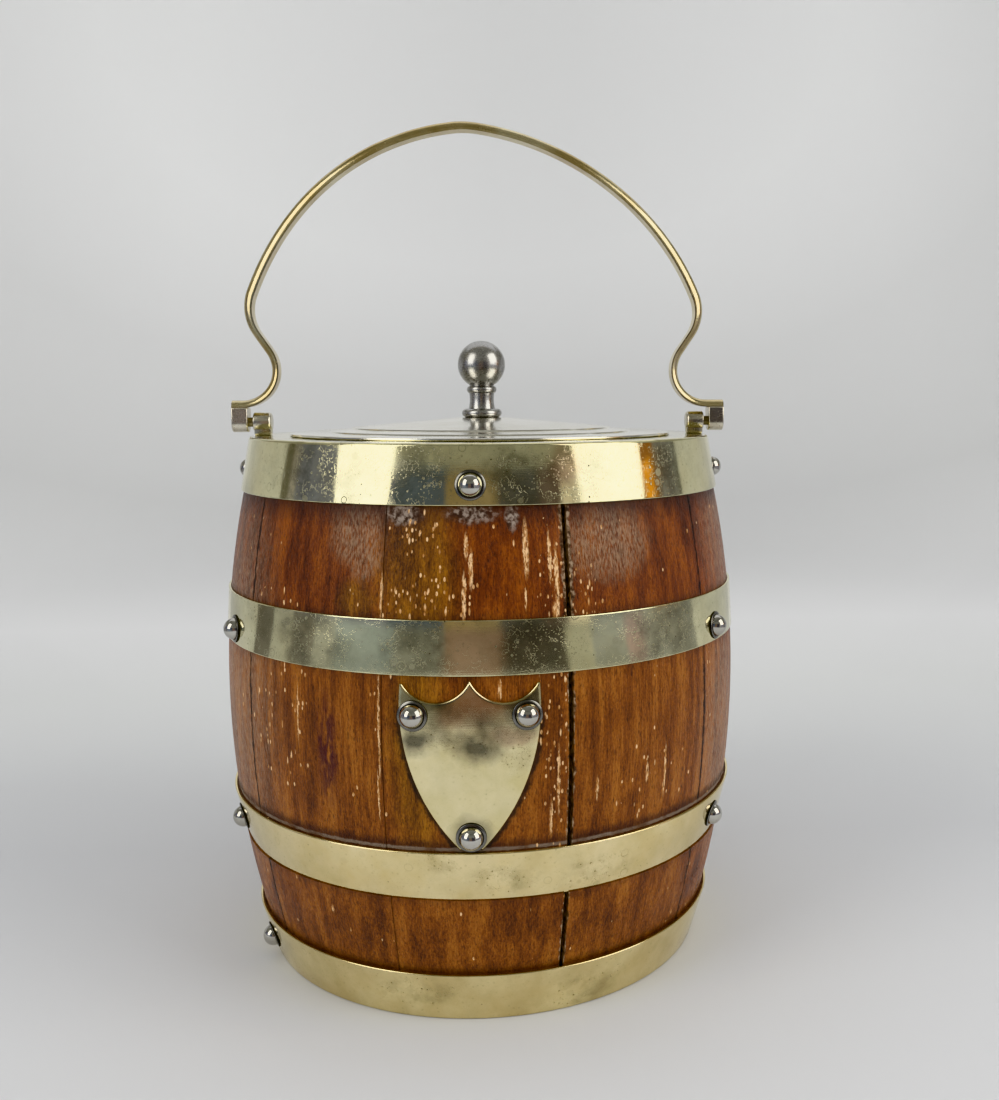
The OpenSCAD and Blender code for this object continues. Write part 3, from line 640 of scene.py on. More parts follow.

# %% Painted shadow and grime round the shield, and grime along the joints
# Two large circles cross in the shield's shape, so their common part follows its two long sides.
SIDE_CIRCLES, SIDE_CIRCLE = ((-39.6, 85.8), (32.3, 85.8)), (109, 109)
# painted shadow: the margin of this shape beyond the plate's edge is the plate's shadow on the
# wood, with grime
round_shield = add(
    tree, "Math", *(patch(tree, swollen, at, SIDE_CIRCLE, 0.008) for at in SIDE_CIRCLES),
    add(tree, "MapRange", height, 80, 88, 1, 0), operation="MULTIPLY")
open_edge = add(tree, "Math", swollen_parts.outputs["X"], JOINT_AT, operation="SUBTRACT")
open_edge = add(tree, "Math", open_edge, operation="ABSOLUTE")
open_edge = add(tree, "Math", open_edge, add(tree, "MapRange", height, 88, 112, 0.95, 1.6),
                operation="DIVIDE")
open_edge = add(tree, "MapRange", open_edge, 0.8, 1.05, 1, 0)
TIGHT_JOINT = 9                     # the joint left of the shield is so tight that it hardly shows
nearest = add(tree, "Math", add(tree, "Math", count, operation="ROUND"), 10, 0, operation="WRAP")
tight = add(tree, "Math", nearest, TIGHT_JOINT, 0.5, operation="COMPARE")
joint = add(tree, "Math", add(tree, "MapRange", from_joint, -0.1, 0.4, 1, 0),
            add(tree, "MapRange", tight, 0, 1, 1, 0.25), operation="MULTIPLY")
stain = add(tree, "Math", patch(tree, uneven, (-41.5, 72), (5.5, 25), 0.4),
            clouds(tree, place, (1.6, 1.6, 5), 0.36, 0.52), 0.8, operation="MULTIPLY")

# %% Painted sheen: pale where the varnish mirrors the light, broken up in fine upright cracks
CRACKLE = (0.36, 0.36, 2)
# painted reflection: pale patches where the varnish mirrors the two windows and the bright sides
# of the room
strong_painted_sheen = patches(tree, uneven, 0.3, (-34, 127, 15, 16), (-31, 119.5, 9, 9),
                       (34, 124, 25, 18))
weak_painted_sheen = patches(tree, uneven, 0.4, (-82, 85, 40, 90), (92, 120, 36, 40), (84, 66, 30, 60))
painted_sheen = add(tree, "Math", strong_painted_sheen,
            add(tree, "Math", weak_painted_sheen, 0.9, operation="MULTIPLY"), operation="MAXIMUM")
crackle = clouds(tree, own, CRACKLE, 0.4, 0.6, 4)
painted_sheen = add(tree, "Math", painted_sheen, add(tree, "MapRange", crackle, 0, 1, 0.05, 0.7),
            operation="MULTIPLY")

# %% Chips in the varnish
# Old varnish is brittle and flakes off in grains, mostly where damp ran down from the rim. Bare
# oak is much paler than what is left of the varnish, so each chip is a bright dot.
SHORT_CHIP, LONG_CHIP = (1.0, 1.0, 2.0), (1.2, 1.2, 4.4)
MUCH_CHIPPED = ((-15, 112, 22, 14), (-15.5, 126, 12, 14), (17.5, 112, 7, 30), (17.5, 75, 7, 50),
                (26, 112, 8, 16))
CHIPPED = ((-57, 78, 24, 30), (47, 62, 22, 18), (-36, 109, 12, 8), (-60, 109, 20, 6))
many = add(
    tree, "Math", 0.012,
    add(tree, "Math", patches(tree, uneven, 0.35, *MUCH_CHIPPED), 0.6, operation="MULTIPLY"),
    add(tree, "Math", patches(tree, uneven, 0.35, *CHIPPED), 0.2, operation="MULTIPLY"),
    operation="MAXIMUM")
fewer = add(tree, "Math", many, 0.6, operation="MULTIPLY")
chip = add(tree, "Math", specks(tree, own, SHORT_CHIP, many, 0.24, 0.34),
           specks(tree, own, LONG_CHIP, fewer, 0.16, 0.28), operation="MAXIMUM")

# %% Long streaks where the varnish came off with the grain
STREAKS = (
    (-26, 111.8, 0.8, 10), (-4.4, 124, 1.0, 6), (-3.2, 118.5, 1.1, 9), (-4.9, 112, 1.1, 11),
    (10.8, 123, 1.5, 13), (10.4, 111, 0.6, 5), (16.9, 121, 0.9, 12), (18.6, 115, 1.2, 16),
    (18, 108, 1.6, 4), (-26.4, 80, 0.6, 26), (-27, 62, 0.5, 12), (3.6, 89.6, 0.9, 5),
    (28.7, 62.4, 0.8, 6), (44.2, 63.6, 0.9, 5), (50.8, 63, 0.8, 13), (13.4, 86, 0.5, 12),
    (18.2, 66, 0.7, 16), (16.4, 56, 0.8, 9), (-51, 80, 0.5, 14), (-45.1, 28.3, 0.9, 2.2))
torn = ragged(tree, own, rolled, 0.9, 0.45)
streak = add(tree, "Math", patches(tree, torn, 0.25, *STREAKS),
             clouds(tree, own, (0.35, 0.35, 1.3), 0.36, 0.48, 4), operation="MULTIPLY")
bare = add(tree, "Math", chip, streak, operation="MAXIMUM")

# %% All layers of the oak's colour, from the wood outwards
lump = clouds(tree, place, 1.3, 0.38, 0.62, 3)
bare_tone = add(tree, "ValToRGB", clouds(tree, own, (0.5, 0.5, 2), 0.4, 0.6),
                ramp=[(0.1, "#B98450"), (0.8, "#F0C898")])
edge_tone, crust_tone = (
    add(tree, "ValToRGB", lump, ramp=zip((0.1, 0.5, 0.9), tones))
    for tones in (("#33261C", "#6E5844", "#A48E76"), ("#3A2E28", "#6E5E54", "#A09286")))
dark_grain = add(tree, "Math", pores, flecks, operation="MAXIMUM")
# The dark along the bands is old dirt above them and painted shadow under them.
# The dark round the shield is painted shadow of the plate, with grime.
# The pale layer over the grain is a painted reflection of the light on the varnish.
for mask, strength, paint in (
        (dark_grain, 0.6, "#240E04"), (painted_sheen, 1, "#A28468"), (darkening, 0.7, "#2E1410"),
        (stain, 1, "#3A1624"), (round_shield, 0.85, "#1E1814"), (joint, 0.85, "#180C06"),
        (open_edge, 0.9, edge_tone), (crust, 0.9, crust_tone), (ledge, 0.85, "#8C7E72"),
        (bare, 1, bare_tone)):
    if strength < 1:
        mask = add(tree, "Math", mask, strength, operation="MULTIPLY")
    paint = linear(paint) if isinstance(paint, str) else paint
    colour = add(tree, "MixRGB", mask, colour, paint)

# %% Gloss and relief of the oak
# Varnish is a clear coat with the refraction of resin, over wood that is matt. It is lost where
# the wood is bare, crusted or crumbled. Only the coat is glossy, and worn unevenly.
VARNISH_IOR = 1.52
gone = add(tree, "Math", bare, crust, ledge, open_edge, operation="MAXIMUM")
coat = add(tree, "MapRange", gone, 0, 1, 0.38, 0.05)
coat_rough = add(tree, "MapRange", clouds(tree, own, (1.2, 1.2, 6), 0.4, 0.6, 4),
                 0, 1, 0.12, 0.28)
heights = [add(tree, "Math", what, share, operation="MULTIPLY") for what, share in (
    (fibres, 0.3), (craze, 0.6), (pores, -0.6), (bare, -1.2),
    (add(tree, "Math", crust, lump, operation="MULTIPLY"), 3))]
raised = add(tree, "Math", *heights, operation="ADD")
slow = add(tree, "Bump", sockets={
    "Height": clouds(tree, own, (7, 7, 40), 0, 1, 2), "Strength": 1, "Distance": 0.12 * MM})
bump = add(tree, "Bump", sockets={
    "Height": raised, "Strength": 1, "Distance": 0.05 * MM, "Normal": slow})
add(tree, "OutputMaterial", add(tree, "BsdfPrincipled", sockets={
    "Base Color": colour, "Roughness": 0.55, "Specular IOR Level": 0.3, "Coat Weight": coat,
    "Coat Roughness": coat_rough, "Coat IOR": VARNISH_IOR, "Normal": bump, "Coat Normal": bump}))
print("varnished oak has", len(tree.nodes), "nodes")

# %% [markdown]
# ## Bare oak and porcelain
# The bottom board was never varnished: it is raw oak, darkened by air and crumbs, dry and matt.
# The liner is porcelain, a white body under a clear glaze. The glaze is a thin coat of glass, so
# it is made with the shader's coat, and its slight ripple comes from running in the kiln.

# %% Bare oak
# Matt brown, with fibres that run across the board.
bare_oak, tree = new_material("bare_darkened_oak")
fibres = clouds(tree, place_of(tree), (16, 1, 1), 0.3, 0.7, 5, 0.65)
colour = add(tree, "ValToRGB", fibres, ramp=[(0.1, "#4A3020"), (0.9, "#8A6844")])
bump = add(tree, "Bump", sockets={"Height": fibres, "Strength": 0.6, "Distance": 0.2 * MM})
add(tree, "OutputMaterial", add(tree, "BsdfPrincipled", sockets={
    "Base Color": colour, "Roughness": 0.8, "Normal": bump}))

# %% Porcelain
# Creamy white, with a sharp gloss on a soft one.
porcelain, tree = new_material("glazed_porcelain")
ripple = clouds(tree, place_of(tree), 8, 0.3, 0.7, 2)
tone = add(tree, "ValToRGB", ripple, ramp=[(0, "#E9E5DA"), (1, "#F2EFE6")])
bump = add(tree, "Bump", sockets={"Height": ripple, "Strength": 0.5, "Distance": 0.06 * MM})
add(tree, "OutputMaterial", add(tree, "BsdfPrincipled", sockets={
    "Base Color": tone, "Roughness": 0.35, "Coat Weight": 1.0, "Coat Roughness": 0.05,
    "Normal": bump}))
print("materials:", [material.name for material in bpy.data.materials])

# %% [markdown]
# ## Shape of the barrel
# The barrel is widest a little above its middle. Its outside is bowed in one arc, and the bands
# are short cones that sit on it. Each piece could be fitted to the next by eye, with a snap or a
# Shrinkwrap. Here all of them take their place from the same few sizes and formulas, so that
# staves, bands, pins and shield lie on each other exactly.

# %% Sizes of the barrel
BELLY_R, BELLY_Z, BOW_R, STAVE_T = 74.95, 79, 262, 8.4
RIM_Z = 148.5
STAVES, OPEN_JOINT = 10, 16.4
OPEN_GAP, JOINT_GAP = 1.25, 0.16
BAND_T = 0.8
# each band: outer radius at its lower and upper edge, height of these edges
RIM_BAND = ((70.1, 67.5), (133.5, RIM_Z))
UPPER_HOOP = ((75, 74.25), (92.8, 106.4))
LOWER_HOOP = ((70.95, 74.4), (35.1, 48.5))
BASE_BAND = ((63.9, 68.1), (0, 13.8))


def barrel_r(z):
    """Radius of the oak at a height."""
    return BELLY_R - BOW_R + math.sqrt(BOW_R ** 2 - (z - BELLY_Z) ** 2)


def inner_r(z):
    """Radius of the staves' inner face at a height."""
    return BELLY_R - BOW_R + math.sqrt((BOW_R - STAVE_T) ** 2 - (z - BELLY_Z) ** 2)


def band_r(band, z):
    """Outer radius of a band at a height."""
    (r0, r1), (z0, z1) = band
    return r0 + (r1 - r0) * (z - z0) / (z1 - z0)


print("rim:", round(2 * band_r(RIM_BAND, RIM_Z), 1), "mm across, at", RIM_Z, "mm")

# %% [markdown]
# ## Staves
# A cooper bends ten tapered staves into a barrel. One joint in front has since dried out and
# opened to a black gap. A stave could be a bent plank, cut to its slant on both sides. It is
# simpler to draw its section once, with flat beds for the bands, and to spin it through its
# share of the circle: then every joint is radial, as on a real barrel.

# %% Section of a stave
def spread(a, b, step):
    """Heights from a to b, about a step apart."""
    n = max(1, round(abs(b - a) / step))
    return [a + (b - a) * i / n for i in range(n + 1)]


def stave_profile():
    """Section of a stave: bowed outside with beds for the bands, bowed inside."""
    points = []
    free_from = 1
    for band in (BASE_BAND, LOWER_HOOP, UPPER_HOOP, RIM_BAND):
        low, high = band[1]
        if low > free_from:
            points += [(barrel_r(z), z) for z in spread(free_from, low, 3)]
        low, high = max(low, 1), min(high, RIM_Z - 1)
        points += [(band_r(band, z) - BAND_T - 0.05, z) for z in spread(low, high, 7)]
        free_from = high
    points += [(inner_r(z), z) for z in spread(RIM_Z - 1, 1, 9)]
    return points

# %% Helpers that turn, close and round a piece
SMOOTH = 38                         # degrees; sharper edges stay sharp in the shading
WELD = 0.002                        # mm; points closer than this become one


def close_mesh(smooth=SMOOTH):
    """Merges doubles, fills open ends, turns the faces outwards and leaves edit mode."""
    bpy.ops.mesh.select_all(action="SELECT")
    bpy.ops.mesh.remove_doubles(threshold=WELD * MM)
    bpy.ops.mesh.delete_loose(use_verts=True, use_edges=True, use_faces=False)
    bpy.ops.mesh.select_all(action="SELECT")
    bpy.ops.mesh.fill_holes(sides=0)
    bpy.ops.mesh.normals_make_consistent(inside=False)
    bpy.ops.object.mode_set(mode="OBJECT")
    bpy.ops.object.shade_smooth_by_angle(angle=math.radians(smooth))


def turned(name, profile, steps=256, degrees=360, axis="Z", offset=(0, 0, 0)):
    """Spins a profile round Z or X. The profile is (radius, place along the axis), in mm."""
    along_x = axis == "X"
    points = [(a, 0, r) if along_x else (r, 0, a) for r, a in profile]
    points = [Vector(p) + Vector(offset) for p in points]
    piece = outline(name, points)
    edit(piece)
    bpy.ops.mesh.spin(steps=steps, angle=-math.radians(degrees), center=Vector(offset) * MM,
                      axis=(1, 0, 0) if along_x else (0, 0, 1))
    close_mesh()
    return piece


def bevelled(piece, width, segments=2, angle=40):
    """Rounds the sharp edges with an applied Bevel modifier."""
    bevel = piece.modifiers.new("bevel", "BEVEL")
    bevel.width = width * MM
    bevel.segments = segments
    bevel.angle_limit = math.radians(angle)
    bpy.ops.object.select_all(action="DESELECT")
    bpy.context.view_layer.objects.active = piece
    piece.select_set(True)
    bpy.ops.object.modifier_apply(modifier=bevel.name)
    bpy.ops.object.shade_smooth_by_angle(angle=math.radians(SMOOTH))
    return piece

# %% Helpers that place, copy and finish a piece
def at_angle(degrees):
    """Turns what is drawn in front of +X to an angle round the barrel, from the front."""
    return Matrix.Rotation(math.radians(degrees - 90), 4, "Z")


def moved_copy(source, name, matrix):
    """A copy with a mesh of its own, whose place is in the mesh."""
    piece = source.copy()
    piece.data = source.data.copy()
    piece.name = piece.data.name = name
    piece.data.transform(matrix)
    bpy.context.scene.collection.objects.link(piece)
    return piece


def fit(piece, body, slot, material, *nodes):
    """Puts the finish on a piece, hangs it on its body and lets it stand for its CAD nodes."""
    piece.data.materials.clear()
    piece.data.materials.append(material)
    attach(piece, body)
    if nodes:
        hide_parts(*nodes)
    piece.data.calc_loop_triangles()
    print(f"{piece.name}: {len(piece.data.loop_triangles)} triangles")

# %% One stave, and its copies
def stave(name, span):
    """A stave that spans an angle, starting at +X."""
    blank = turned(name, stave_profile(), steps=16, degrees=span)
    return bevelled(blank, 0.16, angle=50)


pitch = 360 / STAVES
half_open = math.degrees(OPEN_GAP / 2 / BELLY_R)
half_joint = math.degrees(JOINT_GAP / 2 / BELLY_R)
sound_stave = stave("sound_stave", pitch - 2 * half_joint)
edge_stave = stave("edge_stave", pitch - half_open - half_joint)
for i in range(STAVES):
    first, last_one = i == 0, i == STAVES - 1
    start = OPEN_JOINT + i * pitch + (half_open if first else half_joint)
    source = edge_stave if first or last_one else sound_stave
    piece = moved_copy(source, f"oak_stave_{i + 1}", at_angle(start))
    fit(piece, "barrel", "oak", varnished_oak, f"stave_{i + 1}")
for source in (sound_stave, edge_stave):
    bpy.data.objects.remove(source)

# %% [markdown]
# ## Hoops and bands
# The bands are strips of metal, soldered into rings and driven on from both ends. The rim band
# turns in over the staves and forms the mouth, and the base band turns in under them as a foot.
# A cylinder with a Solidify modifier would give a ring, but not the turned-in parts or the cone.
# A section with rounded corners, spun once round, gives all of it. The rounded edges matter most:
# they catch the thin bright lines by which the eye knows sheet metal.

# %% Rounded sections
def rounded(corners, radii, steps=4):
    """An outline with its corners rounded: each corner gets an arc of its own radius."""
    points = []
    for i, corner in enumerate(corners):
        here = Vector(corner)
        a = Vector(corners[i - 1]) - here
        b = Vector(corners[(i + 1) % len(corners)]) - here
        radius = radii[i] if isinstance(radii, (list, tuple)) else radii
        if radius == 0:
            points.append(tuple(here))
            continue
        half = a.angle(b) / 2
        reach = min(radius / math.tan(half), 0.49 * min(a.length, b.length))
        radius = reach * math.tan(half)
        centre = here + (a.normalized() + b.normalized()).normalized() * radius / math.sin(half)
        start = here + a.normalized() * reach - centre
        end = here + b.normalized() * reach - centre
        for k in range(steps + 1):
            direction = start.lerp(end, k / steps).normalized()
            points.append(tuple(centre + direction * radius))
    return points

# %% Hoops
def strip_profile(band):
    """Section of a plain strip with slightly rounded edges."""
    (r0, r1), (z0, z1) = band
    return rounded([(r0 - BAND_T, z0), (r0, z0), (r1, z1), (r1 - BAND_T, z1)], 0.26)


upper_hoop = turned("upper_hoop_strip", strip_profile(UPPER_HOOP))
lower_hoop = turned("lower_hoop_strip", strip_profile(LOWER_HOOP))
fit(upper_hoop, "barrel", "band_metal", upper_plate, "upper_hoop")
fit(lower_hoop, "barrel", "band_metal", lower_plate, "lower_hoop")

# %% Base band with its foot, and rim band with its mouth
FOOT_INNER_R, MOUTH_R = 57.5, 53.8
(low_r, high_r), (low_z, high_z) = BASE_BAND
base_band = turned("base_band_and_foot", rounded([
    (FOOT_INNER_R, low_z), (low_r, low_z), (high_r, high_z), (high_r - BAND_T, high_z),
    (low_r - 0.5, BAND_T), (FOOT_INNER_R, BAND_T)], [0.3, 0.5, 0.26, 0.2, 0.3, 0.3]))
fit(base_band, "barrel", "band_metal", base_plate, "base_band")
(low_r, high_r), (low_z, high_z) = RIM_BAND
rim_band = turned("rim_band_and_mouth", rounded([
    (low_r - BAND_T, low_z), (low_r, low_z), (high_r, high_z), (MOUTH_R, high_z),
    (MOUTH_R, high_z - BAND_T), (high_r - BAND_T, high_z - BAND_T)],
    [0.2, 0.26, 0.9, 0.39, 0.39, 0.3], 6))
fit(rim_band, "barrel", "band_metal", upper_plate, "rim_band")

# %% [markdown]
# ## Pins
# Domed brass pins hold the bands to the oak. Each has a thin collar, a groove and a half-round
# head. Half a UV sphere would do for the dome, but its collar and groove would have to be joined
# to it. One spun section has all three. A vertex attribute tells the finish where dirt has set,
# so the dirt goes with every copy of the pin.

# %% One pin
PIN_COLLAR_R, PIN_H, DOME_R = 3.8, 3.18, 3.0
SHANK_R, SHANK_END = 0.8, -5
pin_profile = [(0, SHANK_END), (SHANK_R, SHANK_END), (SHANK_R, 0), (PIN_COLLAR_R - 0.1, 0),
               (PIN_COLLAR_R, 0.08)]
pin_profile += [(PIN_COLLAR_R, 0.2), (PIN_COLLAR_R - 0.1, 0.32), (DOME_R + 0.12, 0.45)]
for k in range(19):
    a = math.radians(5 * k)
    pin_profile.append((DOME_R * math.cos(a), PIN_H - DOME_R + DOME_R * math.sin(a)))
one_pin = turned("dome_pin", pin_profile, steps=64)


def dirt_at(out, up):
    """How dirty a pin is, at a distance from its middle and a height over the band, in mm."""
    if abs(out - DOME_R) < 0.02 and up < 0.3 or out > PIN_COLLAR_R - 0.05:
        return 1.0                  # in the groove and on the collar's edge
    if out > DOME_R + 0.05:
        return 0.6                  # on the collar
    return 0.5 if out > DOME_R - 0.02 else 0.0


dirt = one_pin.data.attributes.new("dirt", "FLOAT", "POINT")
for vertex, mark in zip(one_pin.data.vertices, dirt.data):
    mark.value = dirt_at(math.hypot(vertex.co.x, vertex.co.y) / MM, vertex.co.z / MM)
print("one pin has", len(one_pin.data.vertices), "points")

# %% Pins in their rows
def on_cone(angle, radius, z, slope):
    """Stands a pin on a surface that widens by slope for each mm of height."""
    return (at_angle(angle) @ Matrix.Translation(Vector((radius, 0, z)) * MM) @
            Matrix.Rotation(math.radians(90) + math.atan(slope), 4, "Y"))


def slope_of(band):
    """How much a band widens for each mm of height."""
    (r0, r1), (z0, z1) = band
    return (r1 - r0) / (z1 - z0)


def bow_slope(z):
    """How much the oak widens there for each mm of height."""
    return -(z - BELLY_Z) / BOW_R


def joined(name, parts):
    """Joins parts into one piece."""
    bpy.ops.object.select_all(action="DESELECT")
    for part in parts:
        part.select_set(True)
    bpy.context.view_layer.objects.active = parts[0]
    bpy.ops.object.join()
    piece = bpy.context.active_object
    piece.name = piece.data.name = name
    return piece


def pin_row(name, places):
    """Copies of the pin on their places, joined."""
    copies = [moved_copy(one_pin, f"{name}_{k}", place) for k, place in enumerate(places)]
    return joined(name, copies)


# name, CAD node, band, height of the row, and where round the barrel its pins are
for name, node, band, z, angles in (
        ("rim_band_pin_row", "rim_band_pins", RIM_BAND, 138.5, (-2.5, 87.5, 177.5, 267.5)),
        ("upper_hoop_pin_row", "upper_hoop_pins", UPPER_HOOP, 97, (-64.5, 58, 177)),
        ("lower_hoop_pin_row", "lower_hoop_pins", LOWER_HOOP, 41.6, (-70, 61.5, 177)),
        ("base_band_pin_row", "base_band_pins", BASE_BAND, 6.6, (-67, 177))):
    row = pin_row(name, [on_cone(a, band_r(band, z), z, slope_of(band)) for a in angles])
    fit(row, "barrel", "pin_metal", pin_plate, node)

# %% [markdown]
# ## Shield
# The shield is stamped from thin sheet, bent to the barrel and pinned on at its horns and tip.
# Its front edge is rolled over by the stamp and by polishing. A Bevel modifier stops at the
# smallest face, so it can't round the edge of a plate that is cut finely enough to bend. So the
# order is: outline, thickness, three insets that round the edge, cuts, and the bend at the end.

# %% Outline of the shield
def arc(cx, cz, r, start, end, n):
    """Points on an arc, in degrees."""
    return [(cx + r * math.cos(math.radians(start + (end - start) * k / n)),
             cz + r * math.sin(math.radians(start + (end - start) * k / n))) for k in range(n + 1)]


SHIELD_ANGLE, SHIELD_GAP, SHIELD_T = -2.8, 0.1, 0.9
SIDE_R, HALF_W, WIDEST_Z = 53.2, 17.3, 85.8
SCALLOP_R, SCALLOP_X, SCALLOP_Z, TIP_Z, HORN_Z = 9.2, 8.5, 95.7, 49.4, 91


def side_x(z):
    """Half the shield's width at a height, between its two long bowed sides."""
    return HALF_W - SIDE_R + math.sqrt(SIDE_R ** 2 - (z - WIDEST_Z) ** 2)


cusp_turn = math.degrees(math.acos(SCALLOP_X / SCALLOP_R))
horn_turn = math.degrees(math.asin((SCALLOP_Z - HORN_Z) / SCALLOP_R))
half = arc(SCALLOP_X, SCALLOP_Z, SCALLOP_R, 180 + cusp_turn, 360 - horn_turn, 20)
half += [(side_x(z), z) for z in spread(HORN_Z, TIP_Z, 1.5)]
other_half = [(-x, z) for x, z in reversed(half[1:])]
shield = outline("shield_plate", [(x, 0, z) for x, z in half + other_half])
print("shield outline:", len(shield.data.vertices), "points")

# %% A flat plate with a rounded front edge, cut into small faces
ROUNDING = ((0.16, 0.24), (0.2, 0.13), (0.3, 0.05))     # each inset: mm inwards, mm up
CUT_X, CUT_Z, FIRST_CUT_Z = 1, 1.5, 50.2
edit(shield)
bpy.ops.mesh.edge_face_add()
bpy.ops.mesh.extrude_region_move(TRANSFORM_OT_translate={
    "value": (0, -(SHIELD_T - sum(up for _, up in ROUNDING)) * MM, 0)})
for inward, up in ROUNDING:
    bpy.ops.mesh.inset(thickness=inward * MM, use_even_offset=True)
    bpy.ops.transform.translate(value=(0, -up * MM, 0))
cuts = [((k + 0.5) * CUT_X, 0) for k in range(-17, 17)]
cuts += [(0, FIRST_CUT_Z + CUT_Z * k) for k in range(28)]
for x, z in cuts:
    bpy.ops.mesh.select_all(action="SELECT")
    bpy.ops.mesh.bisect(plane_co=(x * MM, 0, z * MM), plane_no=(0, 0, 1) if z else (1, 0, 0))
close_mesh()
print("the plate has", len(shield.data.polygons), "faces to bend")

# %% The plate bent to the barrel
for vertex in shield.data.vertices:
    x, up, z = vertex.co.x / MM, -vertex.co.y / MM, vertex.co.z / MM
    radius = barrel_r(z) + SHIELD_GAP + up
    vertex.co.y = -math.sqrt(radius ** 2 - x ** 2) * MM
shield.data.transform(Matrix.Rotation(math.radians(SHIELD_ANGLE), 4, "Z"))
bpy.ops.object.shade_smooth_by_angle(angle=math.radians(SMOOTH))
fit(shield, "barrel", "band_metal", shield_metal, "shield")

# %% Pins of the shield
HORN_PIN_X, HORN_PIN_Z, TIP_PIN_Z = 13.7, 83.3, 52.8
turn = math.degrees(math.asin(HORN_PIN_X / BELLY_R))
places = []
for angle, z in ((SHIELD_ANGLE - turn, HORN_PIN_Z), (SHIELD_ANGLE + turn, HORN_PIN_Z),
                 (SHIELD_ANGLE, TIP_PIN_Z)):
    radius = barrel_r(z) + SHIELD_GAP + SHIELD_T + 0.03
    places.append(on_cone(angle, radius, z, bow_slope(z)))
fit(pin_row("shield_pin_row", places), "barrel", "pin_metal", pin_plate, "shield_pins")
bpy.data.objects.remove(one_pin)

# %% [markdown]
# ## Liner
# Oak would taint the biscuits, so they lie in a porcelain cup. It is cast in a mould, slightly
# tapered so that it comes out, with a rolled lip and a round inner corner that is easy to wipe.
# It is one closed section, spun: outside, lip, inside and floor.

# %% Liner
LINER_R, LINER_WALL, LINER_FOOT_R = 57, 3.2, 54.5
LINER_Z, LINER_TOP = 13, RIM_Z - BAND_T - 0.2
LINER_FLOOR = LINER_Z + 4
ON_AXIS = 0.001
liner_profile = rounded([
    (ON_AXIS, LINER_Z), (LINER_FOOT_R, LINER_Z), (LINER_R, LINER_TOP),
    (LINER_R - LINER_WALL, LINER_TOP), (LINER_FOOT_R - LINER_WALL, LINER_FLOOR),
    (ON_AXIS, LINER_FLOOR)], [0, 2, 1.55, 1.55, 5, 0], 6)
fit(turned("porcelain_liner", liner_profile, steps=160), "barrel", "porcelain", porcelain, "liner")

# %% [markdown]
# ## Lid
# The lid is spun from one sheet over a former, which leaves it slightly domed, with two low steps
# that stiffen it. Only its section shows how thin it is, so upper and under side are drawn a
# sheet's thickness apart. The sharp little steps are kept, because each of them draws a fine
# double line of light across the lid.

# %% Lid
LID_R, LID_T, STEP_H = 56.2, 0.8, 0.4
MARGIN_Z = RIM_Z + LID_T + 0.1
CROWN_Z = RIM_Z + 5
SLOPE_Z = MARGIN_Z + STEP_H + 0.55
OUTER_STEP, INNER_STEP = (44.85, 44.6), (38.65, 38.4)   # radii at each step's foot and top
SEAT_R, HOLE_R = 7, 1.55            # the knob's flat seat, and the hole for its stud
top_face = [
    (LID_R, RIM_Z + LID_T), (OUTER_STEP[0], MARGIN_Z), (OUTER_STEP[1], MARGIN_Z + STEP_H),
    (INNER_STEP[0], SLOPE_Z), (INNER_STEP[1], SLOPE_Z + STEP_H), (SEAT_R, CROWN_Z),
    (HOLE_R, CROWN_Z)]
under = [(HOLE_R, CROWN_Z - LID_T), (SEAT_R, CROWN_Z - LID_T)]
under += [(r - 0.1, z - LID_T) for r, z in reversed(top_face[1:5])] + [(LID_R, RIM_Z)]
lid_radii = [0.35] + [0.12] * 5 + [0] * 2 + [0.1] * 5 + [0.35]
lid = turned("lid_sheet", rounded(top_face + under, lid_radii, 4))
fit(lid, "lid", "lid_metal", lid_plate, "lid")

# %% [markdown]
# ## Knob
# The knob is turned from a bar: a ball on a hollow waist, with a bead under the ball and a round
# foot. It could be stacked from a sphere, a torus and cones, but a lathe cuts one flowing line,
# and arcs that meet at their tangents give just that.

# %% Knob
FOOT_R, FOOT_H, WAIST_R, HOLLOW_R = 5.95, 2.6, 3.6, 12
BEAD_R, BEAD_X, BEAD_Z, NECK_Z = 1.15, 3.3, 8.3, 9.6
BALL_R, BALL_H = 7.05, 15.7
STUD_R, STUD_END = 1.5, -4.8
waist_mid = (FOOT_H + BEAD_Z) / 2
knob_profile = [(0, STUD_END), (STUD_R, STUD_END), (STUD_R, 0)]
knob_profile += arc(FOOT_R - FOOT_H / 2, FOOT_H / 2, FOOT_H / 2, -90, 80, 12)
reach = math.degrees(math.asin((waist_mid - FOOT_H) / HOLLOW_R))
# the hollow starts at the foot and ends early, where the bead begins
knob_profile += arc(WAIST_R + HOLLOW_R, waist_mid, HOLLOW_R,
                    180 + reach * 0.98, 180 - reach * 0.62, 12)
knob_profile += arc(BEAD_X, BEAD_Z, BEAD_R, -62, 75, 10)
neck_r = BEAD_X + 0.3
ball_start = math.degrees(math.asin((NECK_Z + 0.15 - BALL_H) / BALL_R))
knob_profile += [(neck_r, NECK_Z - 0.1)]
knob_profile += arc(0, BALL_H, BALL_R, ball_start, 90, 40)
knob = turned("turned_knob", [(r, z + CROWN_Z) for r, z in knob_profile], steps=96)
fit(knob, "lid", "lid_metal", knob_plate, "knob")

# %% [markdown]
# ## Lugs, pivots and bosses
# The handle swings on two pins. Each pin is fixed in a boss at the end of the handle and turns in
# a lug on the rim, with a sliver of play. Lug and boss stay apart so that they don't rub. They are
# made for the right side and mirrored to the left, since mirroring keeps the two axes in line.

